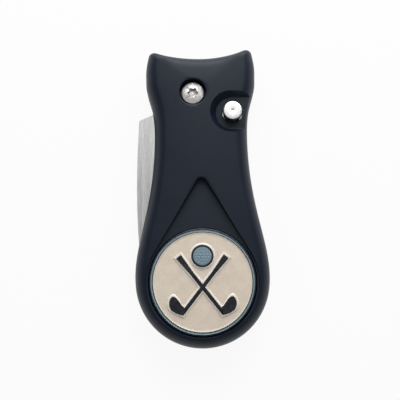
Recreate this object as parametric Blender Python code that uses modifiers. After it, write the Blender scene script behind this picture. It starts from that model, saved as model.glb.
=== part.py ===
"""Switchblade divot repair tool with a magnetic ball marker.

The tool lies on its back on z = 0. +Z points out of its front face, +Y runs from the ball marker to
the eared end, and the origin lies on the back face under the middle of the marker.

The two-pronged fork swings out of the left side about a pivot screw. It turns clockwise, seen from the
front, until it points out of the eared end. A sprung button beside the pivot holds it at both ends.
"""

import math

import bmesh
import bpy
from mathutils import Matrix, Vector

MM = 0.001

# ---------------------------------------------------------------- clearances
SEAT_GAP = 0.1 * MM          # axial gap where one piece seats on another
RUN_GAP = 0.1 * MM           # radial gap of a turning or sliding fit
SIDE_GAP = 0.3 * MM          # gap beside a piece that moves past another
SEAM_GAP = 0.2 * MM          # gap between the two shells
LAY_GAP = 0.02 * MM          # enamel and appliques on the coin
SPRING_GAP = 0.3 * MM        # room round a coil spring
CUT_PAST = 2.0 * MM          # how far a cutter runs past the surface that it opens
MERGE_DISTANCE = 0.001 * MM

# ---------------------------------------------------------------- ball marker
COIN_RADIUS = 12.5 * MM      # standard 25 mm ball marker
COIN_THICKNESS = 1.8 * MM
COIN_EDGE_BEVEL = 0.2 * MM
COIN_RIM_WIDTH = 0.4 * MM
RING_ENAMEL_WIDTH = 0.42 * MM
COIN_DIVIDER_WIDTH = 0.15 * MM
ENAMEL_DEPTH = 0.4 * MM
APPLIQUE_THICKNESS = 0.3 * MM
CLUB_ABOVE_CROSSING = 9.0 * MM
CLUB_BELOW_CROSSING = 8.2 * MM
CLUB_SHAFT_WIDTH = 0.85 * MM
CLUB_GRIP_WIDTH = 1.45 * MM
CLUB_GRIP_LENGTH = 4.8 * MM
CLUB_HEAD_LENGTH = 4.3 * MM
CLUB_HEAD_WIDTH = 2.5 * MM
CLUB_LEAN = math.radians(38.0)
CLUB_CROSSING_DROP = 1.2 * MM
BALL_RADIUS = 2.6 * MM
BALL_RING_WIDTH = 0.45 * MM
BALL_HEIGHT = 6.0 * MM       # ball's middle above the coin's middle

MAGNET_RADIUS = 5.0 * MM
MAGNET_THICKNESS = 1.5 * MM
MAGNET_BEVEL = 0.15 * MM

# ---------------------------------------------------------------- fork
FORK_THICKNESS = 2.2 * MM
FORK_MIDDLE_HEIGHT = 5.9 * MM         # middle of the blade, and of the seam
FORK_SWING = math.radians(175.0)
FORK_LENGTH = 45.5 * MM               # pivot to prong tips
FORK_ROOT_DROP = 15.0 * MM            # pivot to the bottom of the gap between the prongs
FORK_OFFSET = 4.95 * MM               # centre line of the fork, left of the pivot
FORK_SHOULDER_HALF = 8.2 * MM
FORK_WAIST_HALF = 8.72 * MM
FORK_TIP_HALF = 7.5 * MM
FORK_GAP_HALF = 4.5 * MM              # half the gap between the prongs, at its root
FORK_TIP_RADIUS = 1.2 * MM
FORK_SHOULDER_ANGLE = math.radians(203.5)
FORK_LOBE_RADIUS = 9.3 * MM
FORK_CORNER_RADIUS = 0.8 * MM
FORK_LOBE_REACH = 3.8 * MM            # where the lower lobe ends, right of the pivot
FORK_EDGE_EVENNESS = 0.62             # how early the prongs' outer edge reaches its full width
FORK_FLOOR_ROOM = 3.0 * MM            # cavity past the prong tips
FORK_WALL_ROOM = 0.5 * MM             # cavity beside the closed fork
FORK_STOP_ROOM = 0.9 * MM             # cavity behind the open fork's shoulder
CAVITY_CORNER = 2.0 * MM

# ---------------------------------------------------------------- pivot
PIVOT_LEFT = 1.85 * MM                # pivot, left of the middle line
PIVOT_DROP = 9.17 * MM                # pivot, below the dip of the top edge
POST_RADIUS = 2.0 * MM
POST_FLANGE_RADIUS = 3.6 * MM
POST_FLANGE_THICKNESS = 0.9 * MM
POST_FLANGE_SUNK = 0.3 * MM
POST_BORE_RADIUS = 1.25 * MM
POST_BORE_FLOOR = 3.5 * MM
POST_SLOT_WIDTH = 0.8 * MM
POST_SLOT_DEPTH = 0.45 * MM
SCREW_HEAD_RADIUS = 2.7 * MM
SCREW_HEAD_THICKNESS = 1.6 * MM
SCREW_HEAD_DOME = 0.5 * MM
SCREW_POCKET_DEPTH = 2.92 * MM
SCREW_SHANK_RADIUS = 1.12 * MM
SCREW_SHANK_TIP = 3.95 * MM
SCREW_RECESS_RADIUS = 1.25 * MM
SCREW_RECESS_DEPTH = 0.9 * MM
SCREW_RECESS_TURN = math.radians(3.0)
SCREW_LOBE_DEPTH = 0.26               # how far the recess draws in between its lobes, of its radius
SCREW_POCKET_GAP = 0.5 * MM
WEB_UNDER_SCREW = 0.8 * MM
WASHER_THICKNESS = 0.3 * MM
WASHER_SUNK = 0.2 * MM
WASHER_FRONT_RADIUS = 3.8 * MM
WASHER_BACK_RADIUS = 3.2 * MM

# ---------------------------------------------------------------- springs
FORK_SPRING_RADIUS = 4.3 * MM
FORK_SPRING_WIRE = 0.35 * MM          # wire radius
FORK_SPRING_TURNS = 2
FORK_SPRING_PITCH = 0.75 * MM
FORK_SPRING_LEG = 3.0 * MM
FORK_SPRING_WELL_GAP = 0.55 * MM
FORK_SPRING_WELL_FLOOR = 2.0 * MM
FORK_SPRING_START = math.radians(-90.0)
BUTTON_SPRING_WIRE = 0.18 * MM
BUTTON_SPRING_TURNS = 4
BUTTON_SPRING_FLOOR = 1.2 * MM

# ---------------------------------------------------------------- lock button
BUTTON_RIGHT = 7.6 * MM
BUTTON_DROP = 4.85 * MM               # button, below the pivot
BUTTON_RADIUS = 2.16 * MM
BUTTON_PROUD = 0.68 * MM              # button's top, above the front face
BUTTON_SHOULDER_DEPTH = 0.8 * MM      # where the head steps down to the neck, below the recess floor
BUTTON_NECK_RADIUS = 1.5 * MM
BUTTON_COLLAR_STEP = 0.59 * MM        # collar, wider than the head
BUTTON_CUP_WALL = 0.8 * MM
BUTTON_CUP_DEPTH = 1.4 * MM
BUTTON_TRAVEL = 2.3 * MM
BUTTON_CHAMFER = 0.2 * MM
BUTTON_HOLE_GAP = 0.28 * MM
DIMPLE_RADIUS = 0.3 * MM
DIMPLE_DEPTH = 0.15 * MM

# ---------------------------------------------------------------- handle
HANDLE_THICKNESS = 12.5 * MM
RIM_WALL = 3.1 * MM                   # wall round the marker's pocket
BELLY_RISE = 0.55 * MM                # middle of the belly's arc, above the marker's middle
BELLY_END_ANGLE = math.radians(-6.0)
WAIST_HALF_WIDTH = 11.15 * MM
WAIST_DROP = 19.02 * MM               # waist, below the dip of the top edge
EAR_HALF_WIDTH = 13.18 * MM
EAR_DROP = 6.02 * MM                  # widest part of the ears, below the dip of the top edge
EAR_TIP_HALF_WIDTH = 11.4 * MM        # middle of the round at each ear's tip
EAR_TIP_RADIUS = 1.2 * MM
EAR_TIP_LEAN = math.radians(13.5)
RIGHT_EAR_RISE = 2.08 * MM            # each ear's tip, above the dip of the top edge
LEFT_EAR_RISE = 1.58 * MM
TOP_DIP_HEIGHT = 54.42 * MM           # dip of the top edge, above the marker's middle
SPINE_DROP = 8.42 * MM                # end of the handle's spine, below the dip of the top edge
BELLY_PULL = 0.28                     # how far each span of the side curve follows its end's heading,
WAIST_PULL_DOWN = 0.515               # as a share of the span's rise
WAIST_PULL_UP = 0.61
EAR_PULL_DOWN = 0.29
EAR_PULL_UP = 0.3
TIP_PULL = 0.55
SHARPEST_SLANT = 0.6                  # least share of the way to the spine that counts as inset
FRONT_ROLL_WIDTH = 3.0 * MM
FRONT_ROLL_HEIGHT = 4.0 * MM
FRONT_CROWN = 0.7 * MM                # how far the front face falls from its spine to its roll
CROWN_END = 0.94                      # where the crown flattens, as a share of the way to the spine
FACE_DROP = 0.08 * MM                 # level that the front's pockets are measured from, below the spine
BACK_ROLL = 3.5 * MM

POCKET_GAP = 0.2 * MM                 # round the coin
POCKET_FLARE = 0.45 * MM              # how much wider the pocket is at the face
POCKET_FLARE_DEPTH = 0.82 * MM
POCKET_DEPTH = 2.52 * MM
SCOOP_TIP_HEIGHT = 24.4 * MM
SCOOP_TIP_RADIUS = 1.3 * MM
SCOOP_TIP_DEPTH = 2.0 * MM
SCOOP_FLOOR_LEAN = math.radians(2.5)  # its floor rises from the tip towards the marker
SCOOP_RELIEF = 0.5 * MM               # step round the pocket where the scoop's floor meets it
RECESS_DEPTH = 2.22 * MM
RECESS_FLOOR_RADIUS = 4.05 * MM
RECESS_RIM_RADIUS = 5.15 * MM
RECESS_LEAN = 0.2 * MM                # rim's middle, left of the floor's middle

SHELL_SCREW_PLACES = ((0.0 * MM, -10.0 * MM), (8.5 * MM, 12.0 * MM), (6.6 * MM, 27.0 * MM))
SHELL_SCREW_RADIUS = 0.8 * MM
SHELL_SCREW_HEAD_RADIUS = 1.55 * MM
SHELL_SCREW_HEAD_THICKNESS = 1.1 * MM
SHELL_SCREW_SUNK = 0.5 * MM
SHELL_SCREW_SOCKET_RADIUS = 0.75 * MM
SHELL_SCREW_SOCKET_DEPTH = 0.6 * MM
SHELL_SCREW_TIP_GAP = 0.2 * MM        # screw tip, short of its insert's end
INSERT_RADIUS = 1.5 * MM
INSERT_WALL = 0.55 * MM
INSERT_LENGTH = 2.7 * MM
INSERT_SUNK = 0.1 * MM

# ---------------------------------------------------------------- worked out from the sizes above
PIVOT = Vector((-PIVOT_LEFT, TOP_DIP_HEIGHT - PIVOT_DROP, 0.0))
BUTTON = Vector((BUTTON_RIGHT, PIVOT.y - BUTTON_DROP, 0.0))
BUTTON_DISTANCE = (BUTTON - PIVOT).length
BUTTON_ANGLE = math.atan2(BUTTON.y - PIVOT.y, BUTTON.x - PIVOT.x)
SEAM_LOW = FORK_MIDDLE_HEIGHT - SEAM_GAP / 2
SEAM_HIGH = FORK_MIDDLE_HEIGHT + SEAM_GAP / 2
FORK_BOTTOM = FORK_MIDDLE_HEIGHT - FORK_THICKNESS / 2
FORK_TOP = FORK_MIDDLE_HEIGHT + FORK_THICKNESS / 2
CAVITY_FLOOR = FORK_BOTTOM - SEAM_GAP
CAVITY_CEILING = FORK_TOP + SEAM_GAP
FRONT_HEIGHT = HANDLE_THICKNESS - FACE_DROP
POCKET_FLOOR = FRONT_HEIGHT - POCKET_DEPTH
RECESS_FLOOR = FRONT_HEIGHT - RECESS_DEPTH
SCREW_HEAD_SEAT = FRONT_HEIGHT - SCREW_POCKET_DEPTH
BUTTON_TOP = FRONT_HEIGHT + BUTTON_PROUD
BUTTON_SHOULDER = RECESS_FLOOR - BUTTON_SHOULDER_DEPTH
BUTTON_COLLAR_RADIUS = BUTTON_RADIUS + BUTTON_COLLAR_STEP
BUTTON_CUP_RADIUS = BUTTON_COLLAR_RADIUS - BUTTON_CUP_WALL
BUTTON_SPRING_RADIUS = BUTTON_CUP_RADIUS - BUTTON_SPRING_WIRE - SPRING_GAP
POCKET_RADIUS = COIN_RADIUS + POCKET_GAP
BELLY_RADIUS = POCKET_RADIUS + RIM_WALL
COLLAR_CLEAR_RADIUS = BUTTON_COLLAR_RADIUS + SIDE_GAP
HUB_RADIUS = BUTTON_DISTANCE - COLLAR_CLEAR_RADIUS
FORK_CAVITY_RADIUS = FORK_LOBE_RADIUS + SIDE_GAP
COIN_FLOOR = POCKET_FLOOR + SEAT_GAP / 2
COIN_TOP = COIN_FLOOR + COIN_THICKNESS
ENAMEL_FLOOR = COIN_TOP - ENAMEL_DEPTH
RING_OUTER = COIN_RADIUS - COIN_RIM_WIDTH
RING_INNER = RING_OUTER - RING_ENAMEL_WIDTH
FIELD_RADIUS = RING_INNER - COIN_DIVIDER_WIDTH
MAGNET_TOP = POCKET_FLOOR - SEAT_GAP / 2
MAGNET_FLOOR = MAGNET_TOP - MAGNET_THICKNESS
INSERT_FLOOR = SEAM_HIGH + INSERT_SUNK
INSERT_TOP = INSERT_FLOOR + INSERT_LENGTH
POST_FLANGE_TOP = POST_FLANGE_SUNK + POST_FLANGE_THICKNESS
POST_TOP = SCREW_HEAD_SEAT - WEB_UNDER_SCREW - SEAT_GAP
SHOULDER_REACH = (FORK_OFFSET + FORK_SHOULDER_HALF) / -math.cos(FORK_SHOULDER_ANGLE)
RIGHT_EAR_TOP = TOP_DIP_HEIGHT + RIGHT_EAR_RISE
LEFT_EAR_TOP = TOP_DIP_HEIGHT + LEFT_EAR_RISE

CIRCLE_STEPS = 32
SMALL_STEPS = 20


# ---------------------------------------------------------------- scene helpers
def clear_scene():
    """Remove every object that the file starts with."""
    for thing in list(bpy.data.objects):
        bpy.data.objects.remove(thing, do_unlink=True)


def new_collection(name):
    """Add a collection to the scene."""
    collection = bpy.data.collections.new(name)
    bpy.context.scene.collection.children.link(collection)
    return collection


def material(name, colour, roughness, metallic):
    """A Principled material with one colour."""
    made = bpy.data.materials.new(name)
    made.use_nodes = True
    shader = made.node_tree.nodes["Principled BSDF"]
    shader.inputs["Base Color"].default_value = (*colour, 1.0)
    shader.inputs["Roughness"].default_value = roughness
    shader.inputs["Metallic"].default_value = metallic
    return made


def place(name, data, collection, look=None, at=(0.0, 0.0, 0.0)):
    """Put mesh or curve data into a collection as a named object."""
    thing = bpy.data.objects.new(name, data)
    thing.location = at
    collection.objects.link(thing)
    if look is not None:
        data.materials.append(look)
    if collection is CUTTERS:
        thing.hide_render = True
        thing.display_type = "WIRE"
    return thing


def smooth(thing, angle=35.0):
    """Shade round faces smooth and keep the sharp edges."""
    thing.data.shade_smooth()
    thing.data.set_sharp_from_angle(angle=math.radians(angle))


def place_bmesh(name, mesh_builder, collection, look=None, at=(0.0, 0.0, 0.0)):
    """Turn a bmesh into a placed object."""
    data = bpy.data.meshes.new(name)
    mesh_builder.to_mesh(data)
    mesh_builder.free()
    return place(name, data, collection, look, at)


def subtract(target, *cutters):
    """Cut each cutter out of the target."""
    for cutter in cutters:
        modifier = target.modifiers.new(cutter.name, "BOOLEAN")
        modifier.operation = "DIFFERENCE"
        modifier.solver = "EXACT"
        modifier.object = cutter


def unite(target, *others):
    """Join each other solid to the target."""
    for other in others:
        modifier = target.modifiers.new(other.name, "BOOLEAN")
        modifier.operation = "UNION"
        modifier.solver = "EXACT"
        modifier.object = other


# ---------------------------------------------------------------- shape helpers
def polar(radius, angle, middle=(0.0, 0.0)):
    """A flat point at a radius and an angle from a middle point."""
    return (middle[0] + radius * math.cos(angle), middle[1] + radius * math.sin(angle))


def arc(middle, radius, start, end, steps):
    """Points along an arc, both ends included."""
    points = []
    for step in range(steps + 1):
        angle = start + (end - start) * step / steps
        points.append(polar(radius, angle, middle))
    return points


def bezier(start, start_handle, end_handle, end, steps):
    """Points along a cubic curve, without its first point."""
    corners = [Vector(corner) for corner in (start, start_handle, end_handle, end)]
    points = []
    for step in range(1, steps + 1):
        t = step / steps
        u = 1.0 - t
        spot = (corners[0] * u**3 + corners[1] * 3 * u * u * t
                + corners[2] * 3 * u * t * t + corners[3] * t**3)
        points.append((spot.x, spot.y))
    return points


def cylinder(name, middle, radius, low, high, collection, look=None, steps=CIRCLE_STEPS, top_radius=None):
    """A round bar, or a cone when it has a top radius, standing at a point."""
    builder = bmesh.new()
    bmesh.ops.create_cone(builder, cap_ends=True, segments=steps, radius1=radius,
                          radius2=radius if top_radius is None else top_radius, depth=high - low)
    bmesh.ops.translate(builder, vec=(0.0, 0.0, (low + high) / 2), verts=builder.verts)
    return place_bmesh(name, builder, collection, look, (middle[0], middle[1], 0.0))


def box(name, low, high, collection, look=None):
    """A block between two corners."""
    builder = bmesh.new()
    bmesh.ops.create_cube(builder, size=1.0)
    size = [high[axis] - low[axis] for axis in range(3)]
    middle = [(high[axis] + low[axis]) / 2 for axis in range(3)]
    bmesh.ops.scale(builder, vec=size, verts=builder.verts)
    bmesh.ops.translate(builder, vec=middle, verts=builder.verts)
    return place_bmesh(name, builder, collection, look)


def turned(name, profile, collection, look=None, at=(0.0, 0.0, 0.0), closed=False, steps=CIRCLE_STEPS):
    """A turned piece from (radius, height) points that run down its outer side."""
    data = bpy.data.meshes.new(name)
    edges = [(index, index + 1) for index in range(len(profile) - 1)]
    if closed:
        edges.append((len(profile) - 1, 0))
    data.from_pydata([(radius, 0.0, height) for radius, height in profile], edges, [])
    thing = place(name, data, collection, look, at)
    screw = thing.modifiers.new("Turn", "SCREW")
    screw.steps = steps
    screw.render_steps = steps
    screw.use_merge_vertices = True
    screw.merge_threshold = MERGE_DISTANCE
    screw.use_smooth_shade = True
    return thing


def plate(name, outlines, low, high, collection, look=None, at=(0.0, 0.0, 0.0)):
    """A flat piece from closed outlines. An outline inside another is a hole."""
    curve = bpy.data.curves.new(name + "_outline", "CURVE")
    curve.dimensions = "2D"
    curve.fill_mode = "BOTH"
    curve.extrude = (high - low) / 2
    for outline in outlines:
        spline = curve.splines.new("POLY")
        spline.points.add(len(outline) - 1)
        spline.use_cyclic_u = True
        for point, (x, y) in zip(spline.points, outline):
            point.co = (x, y, 0.0, 1.0)
    sketch = bpy.data.objects.new(name + "_outline", curve)
    bpy.context.scene.collection.objects.link(sketch)
    bpy.context.view_layer.update()
    data = bpy.data.meshes.new_from_object(sketch.evaluated_get(bpy.context.evaluated_depsgraph_get()))
    bpy.data.objects.remove(sketch, do_unlink=True)
    data.name = name
    builder = bmesh.new()
    builder.from_mesh(data)
    bmesh.ops.remove_doubles(builder, verts=builder.verts, dist=MERGE_DISTANCE)
    bmesh.ops.translate(builder, vec=(0.0, 0.0, (low + high) / 2), verts=builder.verts)
    bmesh.ops.recalc_face_normals(builder, faces=builder.faces)
    builder.to_mesh(data)
    builder.free()
    data.materials.clear()
    return place(name, data, collection, look, at)


def wire(name, points, radius, collection, look, at):
    """A round wire along points."""
    curve = bpy.data.curves.new(name, "CURVE")
    curve.dimensions = "3D"
    curve.bevel_depth = radius
    curve.bevel_resolution = 2
    curve.use_fill_caps = True
    spline = curve.splines.new("POLY")
    spline.points.add(len(points) - 1)
    for point, spot in zip(spline.points, points):
        point.co = (*spot, 1.0)
    return place(name, curve, collection, look, at)


def loft(name, rings, collection, look):
    """A closed body through rings of points that lie over each other, lowest ring first."""
    builder = bmesh.new()
    loops = [[builder.verts.new(spot) for spot in ring] for ring in rings]
    for lower, upper in zip(loops, loops[1:]):
        for index in range(len(lower)):
            builder.faces.new((lower[index - 1], lower[index], upper[index], upper[index - 1]))
    builder.faces.new(reversed(loops[0]))
    builder.faces.new(loops[-1])
    return place_bmesh(name, builder, collection, look)


# ---------------------------------------------------------------- the handle's outline
def half_outline(ear_top):
    """Right half of the handle, from the belly's lowest point to the middle of the top edge."""
    belly_middle = (0.0, BELLY_RISE)
    points = arc(belly_middle, BELLY_RADIUS, -math.pi / 2, BELLY_END_ANGLE, 12)

    belly_end = Vector(points[-1])
    belly_heading = Vector((-math.sin(BELLY_END_ANGLE), math.cos(BELLY_END_ANGLE)))
    waist = Vector((WAIST_HALF_WIDTH, TOP_DIP_HEIGHT - WAIST_DROP))
    rise = waist.y - belly_end.y
    points += bezier(belly_end, belly_end + belly_heading * rise * BELLY_PULL,
                     waist - Vector((0.0, rise * WAIST_PULL_DOWN)), waist, 11)

    ear = Vector((EAR_HALF_WIDTH, TOP_DIP_HEIGHT - EAR_DROP))
    rise = ear.y - waist.y
    points += bezier(waist, waist + Vector((0.0, rise * WAIST_PULL_UP)),
                     ear - Vector((0.0, rise * EAR_PULL_DOWN)), ear, 8)

    tip_middle = (EAR_TIP_HALF_WIDTH, ear_top - EAR_TIP_RADIUS)
    tip_start = Vector(polar(EAR_TIP_RADIUS, EAR_TIP_LEAN, tip_middle))
    tip_heading = Vector((-math.sin(EAR_TIP_LEAN), math.cos(EAR_TIP_LEAN)))
    rise = tip_start.y - ear.y
    points += bezier(ear, ear + Vector((0.0, rise * EAR_PULL_UP)),
                     tip_start - tip_heading * rise * TIP_PULL, tip_start, 4)
    top_slope = 2 * (ear_top - TOP_DIP_HEIGHT) / EAR_TIP_HALF_WIDTH
    points += arc(tip_middle, EAR_TIP_RADIUS, EAR_TIP_LEAN, math.pi / 2 + math.atan(top_slope), 4)[1:]

    corner = points[-1]
    steps = 6
    for step in range(1, steps + 1):
        share = 1.0 - step / steps
        points.append((corner[0] * share, TOP_DIP_HEIGHT + (corner[1] - TOP_DIP_HEIGHT) * share**2))
    return points


def handle_outline():
    """The handle's whole outline, counter-clockwise from the belly's lowest point."""
    right = half_outline(RIGHT_EAR_TOP)
    left = half_outline(LEFT_EAR_TOP)
    return right + [(-x, y) for x, y in reversed(left[1:-1])]


def ways_to_spine(outline):
    """Each outline point, its way to the handle's spine, and how squarely that way leaves the edge."""
    spine_top = TOP_DIP_HEIGHT - SPINE_DROP
    ways = []
    for index, (x, y) in enumerate(outline):
        before = Vector(outline[index - 1])
        after = Vector(outline[(index + 1) % len(outline)])
        along = (after - before).normalized()
        outward = Vector((along.y, -along.x))
        way = Vector((0.0, min(max(y, 0.0), spine_top))) - Vector((x, y))
        ways.append((Vector((x, y)), way, max(-way.normalized().dot(outward), SHARPEST_SLANT)))
    return ways


def inset_outline(outline, inset, height):
    """The outline drawn in towards the handle's spine by an inset, at a height."""
    ring = []
    for point, way, slant in ways_to_spine(outline):
        spot = point + way.normalized() * (inset / slant)
        ring.append((spot.x, spot.y, height))
    return ring


def face_ring(outline, inset, crown_share):
    """A ring on the front face: at an inset on the roll, or at a share of the crown past the roll."""
    roll_height = min(FRONT_ROLL_HEIGHT, HANDLE_THICKNESS - FRONT_CROWN - SEAM_HIGH - SEAM_GAP)
    roll_left = 1.0 - inset / FRONT_ROLL_WIDTH
    roll_fall = roll_height * (1.0 - math.sqrt(1.0 - roll_left**2))
    ring = []
    for point, way, slant in ways_to_spine(outline):
        share = inset / (way.length * slant)
        share += (CROWN_END - share) * crown_share
        spot = point + way * share
        ring.append((spot.x, spot.y, HANDLE_THICKNESS - FRONT_CROWN * (1.0 - share)**2 - roll_fall))
    return ring


# ---------------------------------------------------------------- the fork's outline
def fork_outline():
    """The fork about its pivot, closed position, counter-clockwise from the first lock notch."""
    lobe_turn = math.acos((BUTTON_DISTANCE**2 + FORK_LOBE_RADIUS**2 - COLLAR_CLEAR_RADIUS**2)
                          / (2 * BUTTON_DISTANCE * FORK_LOBE_RADIUS))
    open_notch = BUTTON_ANGLE + FORK_SWING
    points = arc((0.0, 0.0), HUB_RADIUS, BUTTON_ANGLE, open_notch, 36)

    notch_middle = polar(BUTTON_DISTANCE, open_notch)
    lobe_corner = Vector(polar(FORK_LOBE_RADIUS, open_notch + lobe_turn))
    toward_corner = lobe_corner - Vector(notch_middle)
    corner_turn = math.atan2(toward_corner.y, toward_corner.x) % math.tau
    points += arc(notch_middle, COLLAR_CLEAR_RADIUS, open_notch + math.pi, corner_turn, 8)[1:]
    points += arc((0.0, 0.0), FORK_LOBE_RADIUS, open_notch + lobe_turn, FORK_SHOULDER_ANGLE, 8)[1:]

    line = -FORK_OFFSET
    shoulder = polar(SHOULDER_REACH, FORK_SHOULDER_ANGLE)
    before_corner = polar(SHOULDER_REACH - FORK_CORNER_RADIUS, FORK_SHOULDER_ANGLE)
    points.append(before_corner)
    points += bezier(before_corner, shoulder, shoulder, (shoulder[0], shoulder[1] - FORK_CORNER_RADIUS), 4)
    tip_height = -FORK_LENGTH + FORK_TIP_RADIUS
    tip_side = FORK_TIP_HALF - FORK_TIP_RADIUS
    edge_top = Vector(points[-1])
    edge_end = Vector((line - FORK_TIP_HALF, tip_height))
    bulge = FORK_WAIST_HALF + (FORK_WAIST_HALF - FORK_SHOULDER_HALF) / 2
    early = edge_end.y + (edge_top.y - edge_end.y) * FORK_EDGE_EVENNESS
    late = edge_top.y + (edge_end.y - edge_top.y) * FORK_EDGE_EVENNESS
    left_edge = bezier(edge_top, (line - bulge, early), (line - bulge, late), edge_end, 14)
    points += left_edge
    points += arc((line - tip_side, tip_height), FORK_TIP_RADIUS, math.pi, math.tau, 12)[1:]
    root = (line, -FORK_ROOT_DROP - FORK_GAP_HALF)
    points += arc(root, FORK_GAP_HALF, math.pi, 0.0, 20)
    points += arc((line + tip_side, tip_height), FORK_TIP_RADIUS, math.pi, math.tau, 12)
    right_edge = [(2 * line - x, y) for x, y in reversed(left_edge[:-1])]
    first_lobe = -math.acos(FORK_LOBE_REACH / FORK_LOBE_RADIUS)
    lobe_foot = polar(FORK_LOBE_RADIUS, first_lobe)
    points += [spot for spot in right_edge if spot[1] < lobe_foot[1] - FORK_CORNER_RADIUS]
    points += arc((0.0, 0.0), FORK_LOBE_RADIUS, first_lobe, BUTTON_ANGLE - lobe_turn, 6)

    notch_middle = polar(BUTTON_DISTANCE, BUTTON_ANGLE)
    toward_corner = Vector(points[-1]) - Vector(notch_middle)
    corner_turn = math.atan2(toward_corner.y, toward_corner.x) % math.tau
    points += arc(notch_middle, COLLAR_CLEAR_RADIUS, corner_turn, BUTTON_ANGLE + math.pi, 8)[1:-1]
    return points


def cavity_outline():
    """The room that the fork lies in and sweeps through, counter-clockwise from the lower left."""
    outside = -2 * BELLY_RADIUS
    right_wall = PIVOT.x - FORK_OFFSET + FORK_WAIST_HALF + FORK_WALL_ROOM
    floor = PIVOT.y - FORK_LENGTH - FORK_FLOOR_ROOM
    wall_reach = SHOULDER_REACH + FORK_WALL_ROOM
    wall_angle = FORK_SHOULDER_ANGLE - FORK_SWING - FORK_STOP_ROOM / wall_reach
    middle = (PIVOT.x, PIVOT.y)
    joint_angle = -math.acos((right_wall - PIVOT.x) / FORK_CAVITY_RADIUS)
    points = [(outside, floor), (right_wall - CAVITY_CORNER, floor), (right_wall, floor + CAVITY_CORNER)]
    points += arc(middle, FORK_CAVITY_RADIUS, joint_angle, wall_angle, 14)
    wall_foot = polar(wall_reach, wall_angle, middle)
    points.append(wall_foot)
    open_lean = math.tan(math.pi - FORK_SWING)
    wall_top = RIGHT_EAR_TOP + CUT_PAST
    points.append((wall_foot[0] - (wall_top - wall_foot[1]) * open_lean, wall_top))
    points.append((outside, wall_top))
    return points


# ---------------------------------------------------------------- the shells
def shell_cutters():
    """Cutters that both shells share."""
    fork_room = plate("cut_fork_room", [cavity_outline()], CAVITY_FLOOR, CAVITY_CEILING, CUTTERS)
    collar_room = cylinder("cut_collar_room", BUTTON, COLLAR_CLEAR_RADIUS,
                           FORK_BOTTOM - BUTTON_TRAVEL - SEAM_GAP, CAVITY_CEILING, CUTTERS)
    return fork_room, collar_room


def front_shell(look, fork_room, collar_room):
    """The front half of the handle, with the marker's pocket, the scoop and the button's recess."""
    outline = handle_outline()
    rings = [inset_outline(outline, 0.0, SEAM_HIGH)]
    roll_steps = 6
    for step in range(roll_steps + 1):
        turn = math.pi / 2 * step / roll_steps
        rings.append(face_ring(outline, FRONT_ROLL_WIDTH * (1.0 - math.cos(turn)), 0.0))
    for crown_share in (0.3, 0.6, 1.0):
        rings.append(face_ring(outline, FRONT_ROLL_WIDTH, crown_share))
    shell = loft("front_shell", rings, PARTS, look)

    past_top = HANDLE_THICKNESS + CUT_PAST
    pocket = cylinder("cut_marker_pocket", (0.0, 0.0), POCKET_RADIUS, POCKET_FLOOR, past_top, CUTTERS,
                      steps=64)
    flare_slope = POCKET_FLARE / POCKET_FLARE_DEPTH
    flare_floor = FRONT_HEIGHT - POCKET_FLARE_DEPTH
    flare = cylinder("cut_pocket_flare", (0.0, 0.0), POCKET_RADIUS, flare_floor, past_top, CUTTERS, steps=64,
                     top_radius=POCKET_RADIUS + flare_slope * (past_top - flare_floor))
    magnet_seat = cylinder("cut_magnet_seat", (0.0, 0.0), MAGNET_RADIUS + SEAT_GAP,
                           MAGNET_FLOOR - SEAT_GAP, past_top, CUTTERS)
    screw_pocket = cylinder("cut_screw_pocket", PIVOT, SCREW_HEAD_RADIUS + SCREW_POCKET_GAP,
                            SCREW_HEAD_SEAT, past_top, CUTTERS)
    screw_hole = cylinder("cut_screw_hole", PIVOT, SCREW_SHANK_RADIUS + RUN_GAP, CAVITY_FLOOR, past_top,
                          CUTTERS, steps=SMALL_STEPS)
    post_hole = cylinder("cut_front_post_hole", PIVOT, POST_RADIUS + RUN_GAP, CAVITY_FLOOR,
                         SCREW_HEAD_SEAT - WEB_UNDER_SCREW, CUTTERS)
    washer_seat = cylinder("cut_front_washer_seat", PIVOT, WASHER_FRONT_RADIUS + RUN_GAP, CAVITY_FLOOR,
                           CAVITY_CEILING + WASHER_SUNK, CUTTERS)
    button_hole = cylinder("cut_button_hole", BUTTON, BUTTON_RADIUS + BUTTON_HOLE_GAP, CAVITY_FLOOR,
                           past_top, CUTTERS)
    subtract(shell, fork_room, collar_room, pocket, flare, scoop_cutter(), magnet_seat, screw_pocket,
             screw_hole, post_hole, washer_seat, recess_cutter(), button_hole)
    for number, spot in enumerate(SHELL_SCREW_PLACES, start=1):
        subtract(shell, cylinder(f"cut_insert_{number}", spot, INSERT_RADIUS + SEAT_GAP, CAVITY_FLOOR,
                                 INSERT_TOP + SEAT_GAP, CUTTERS, steps=SMALL_STEPS))
    smooth(shell)
    return shell


def scoop_cutter():
    """The tapered scoop above the marker, where a fingertip lifts the coin out."""
    tip_middle = (0.0, SCOOP_TIP_HEIGHT - SCOOP_TIP_RADIUS)
    radius = POCKET_RADIUS + SCOOP_RELIEF
    half_angle = math.asin((radius - SCOOP_TIP_RADIUS) / tip_middle[1])
    outline = arc(tip_middle, SCOOP_TIP_RADIUS, half_angle, math.pi - half_angle, 8)
    outline += arc((0.0, 0.0), radius, math.pi - half_angle, math.tau + half_angle, 40)
    cutter = plate("cut_scoop", [outline], FRONT_HEIGHT - SCOOP_TIP_DEPTH, FRONT_HEIGHT + CUT_PAST, CUTTERS)
    for vertex in cutter.data.vertices:
        if vertex.co.z < FRONT_HEIGHT:
            vertex.co.z += math.tan(SCOOP_FLOOR_LEAN) * (SCOOP_TIP_HEIGHT - vertex.co.y)
    return cutter


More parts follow.
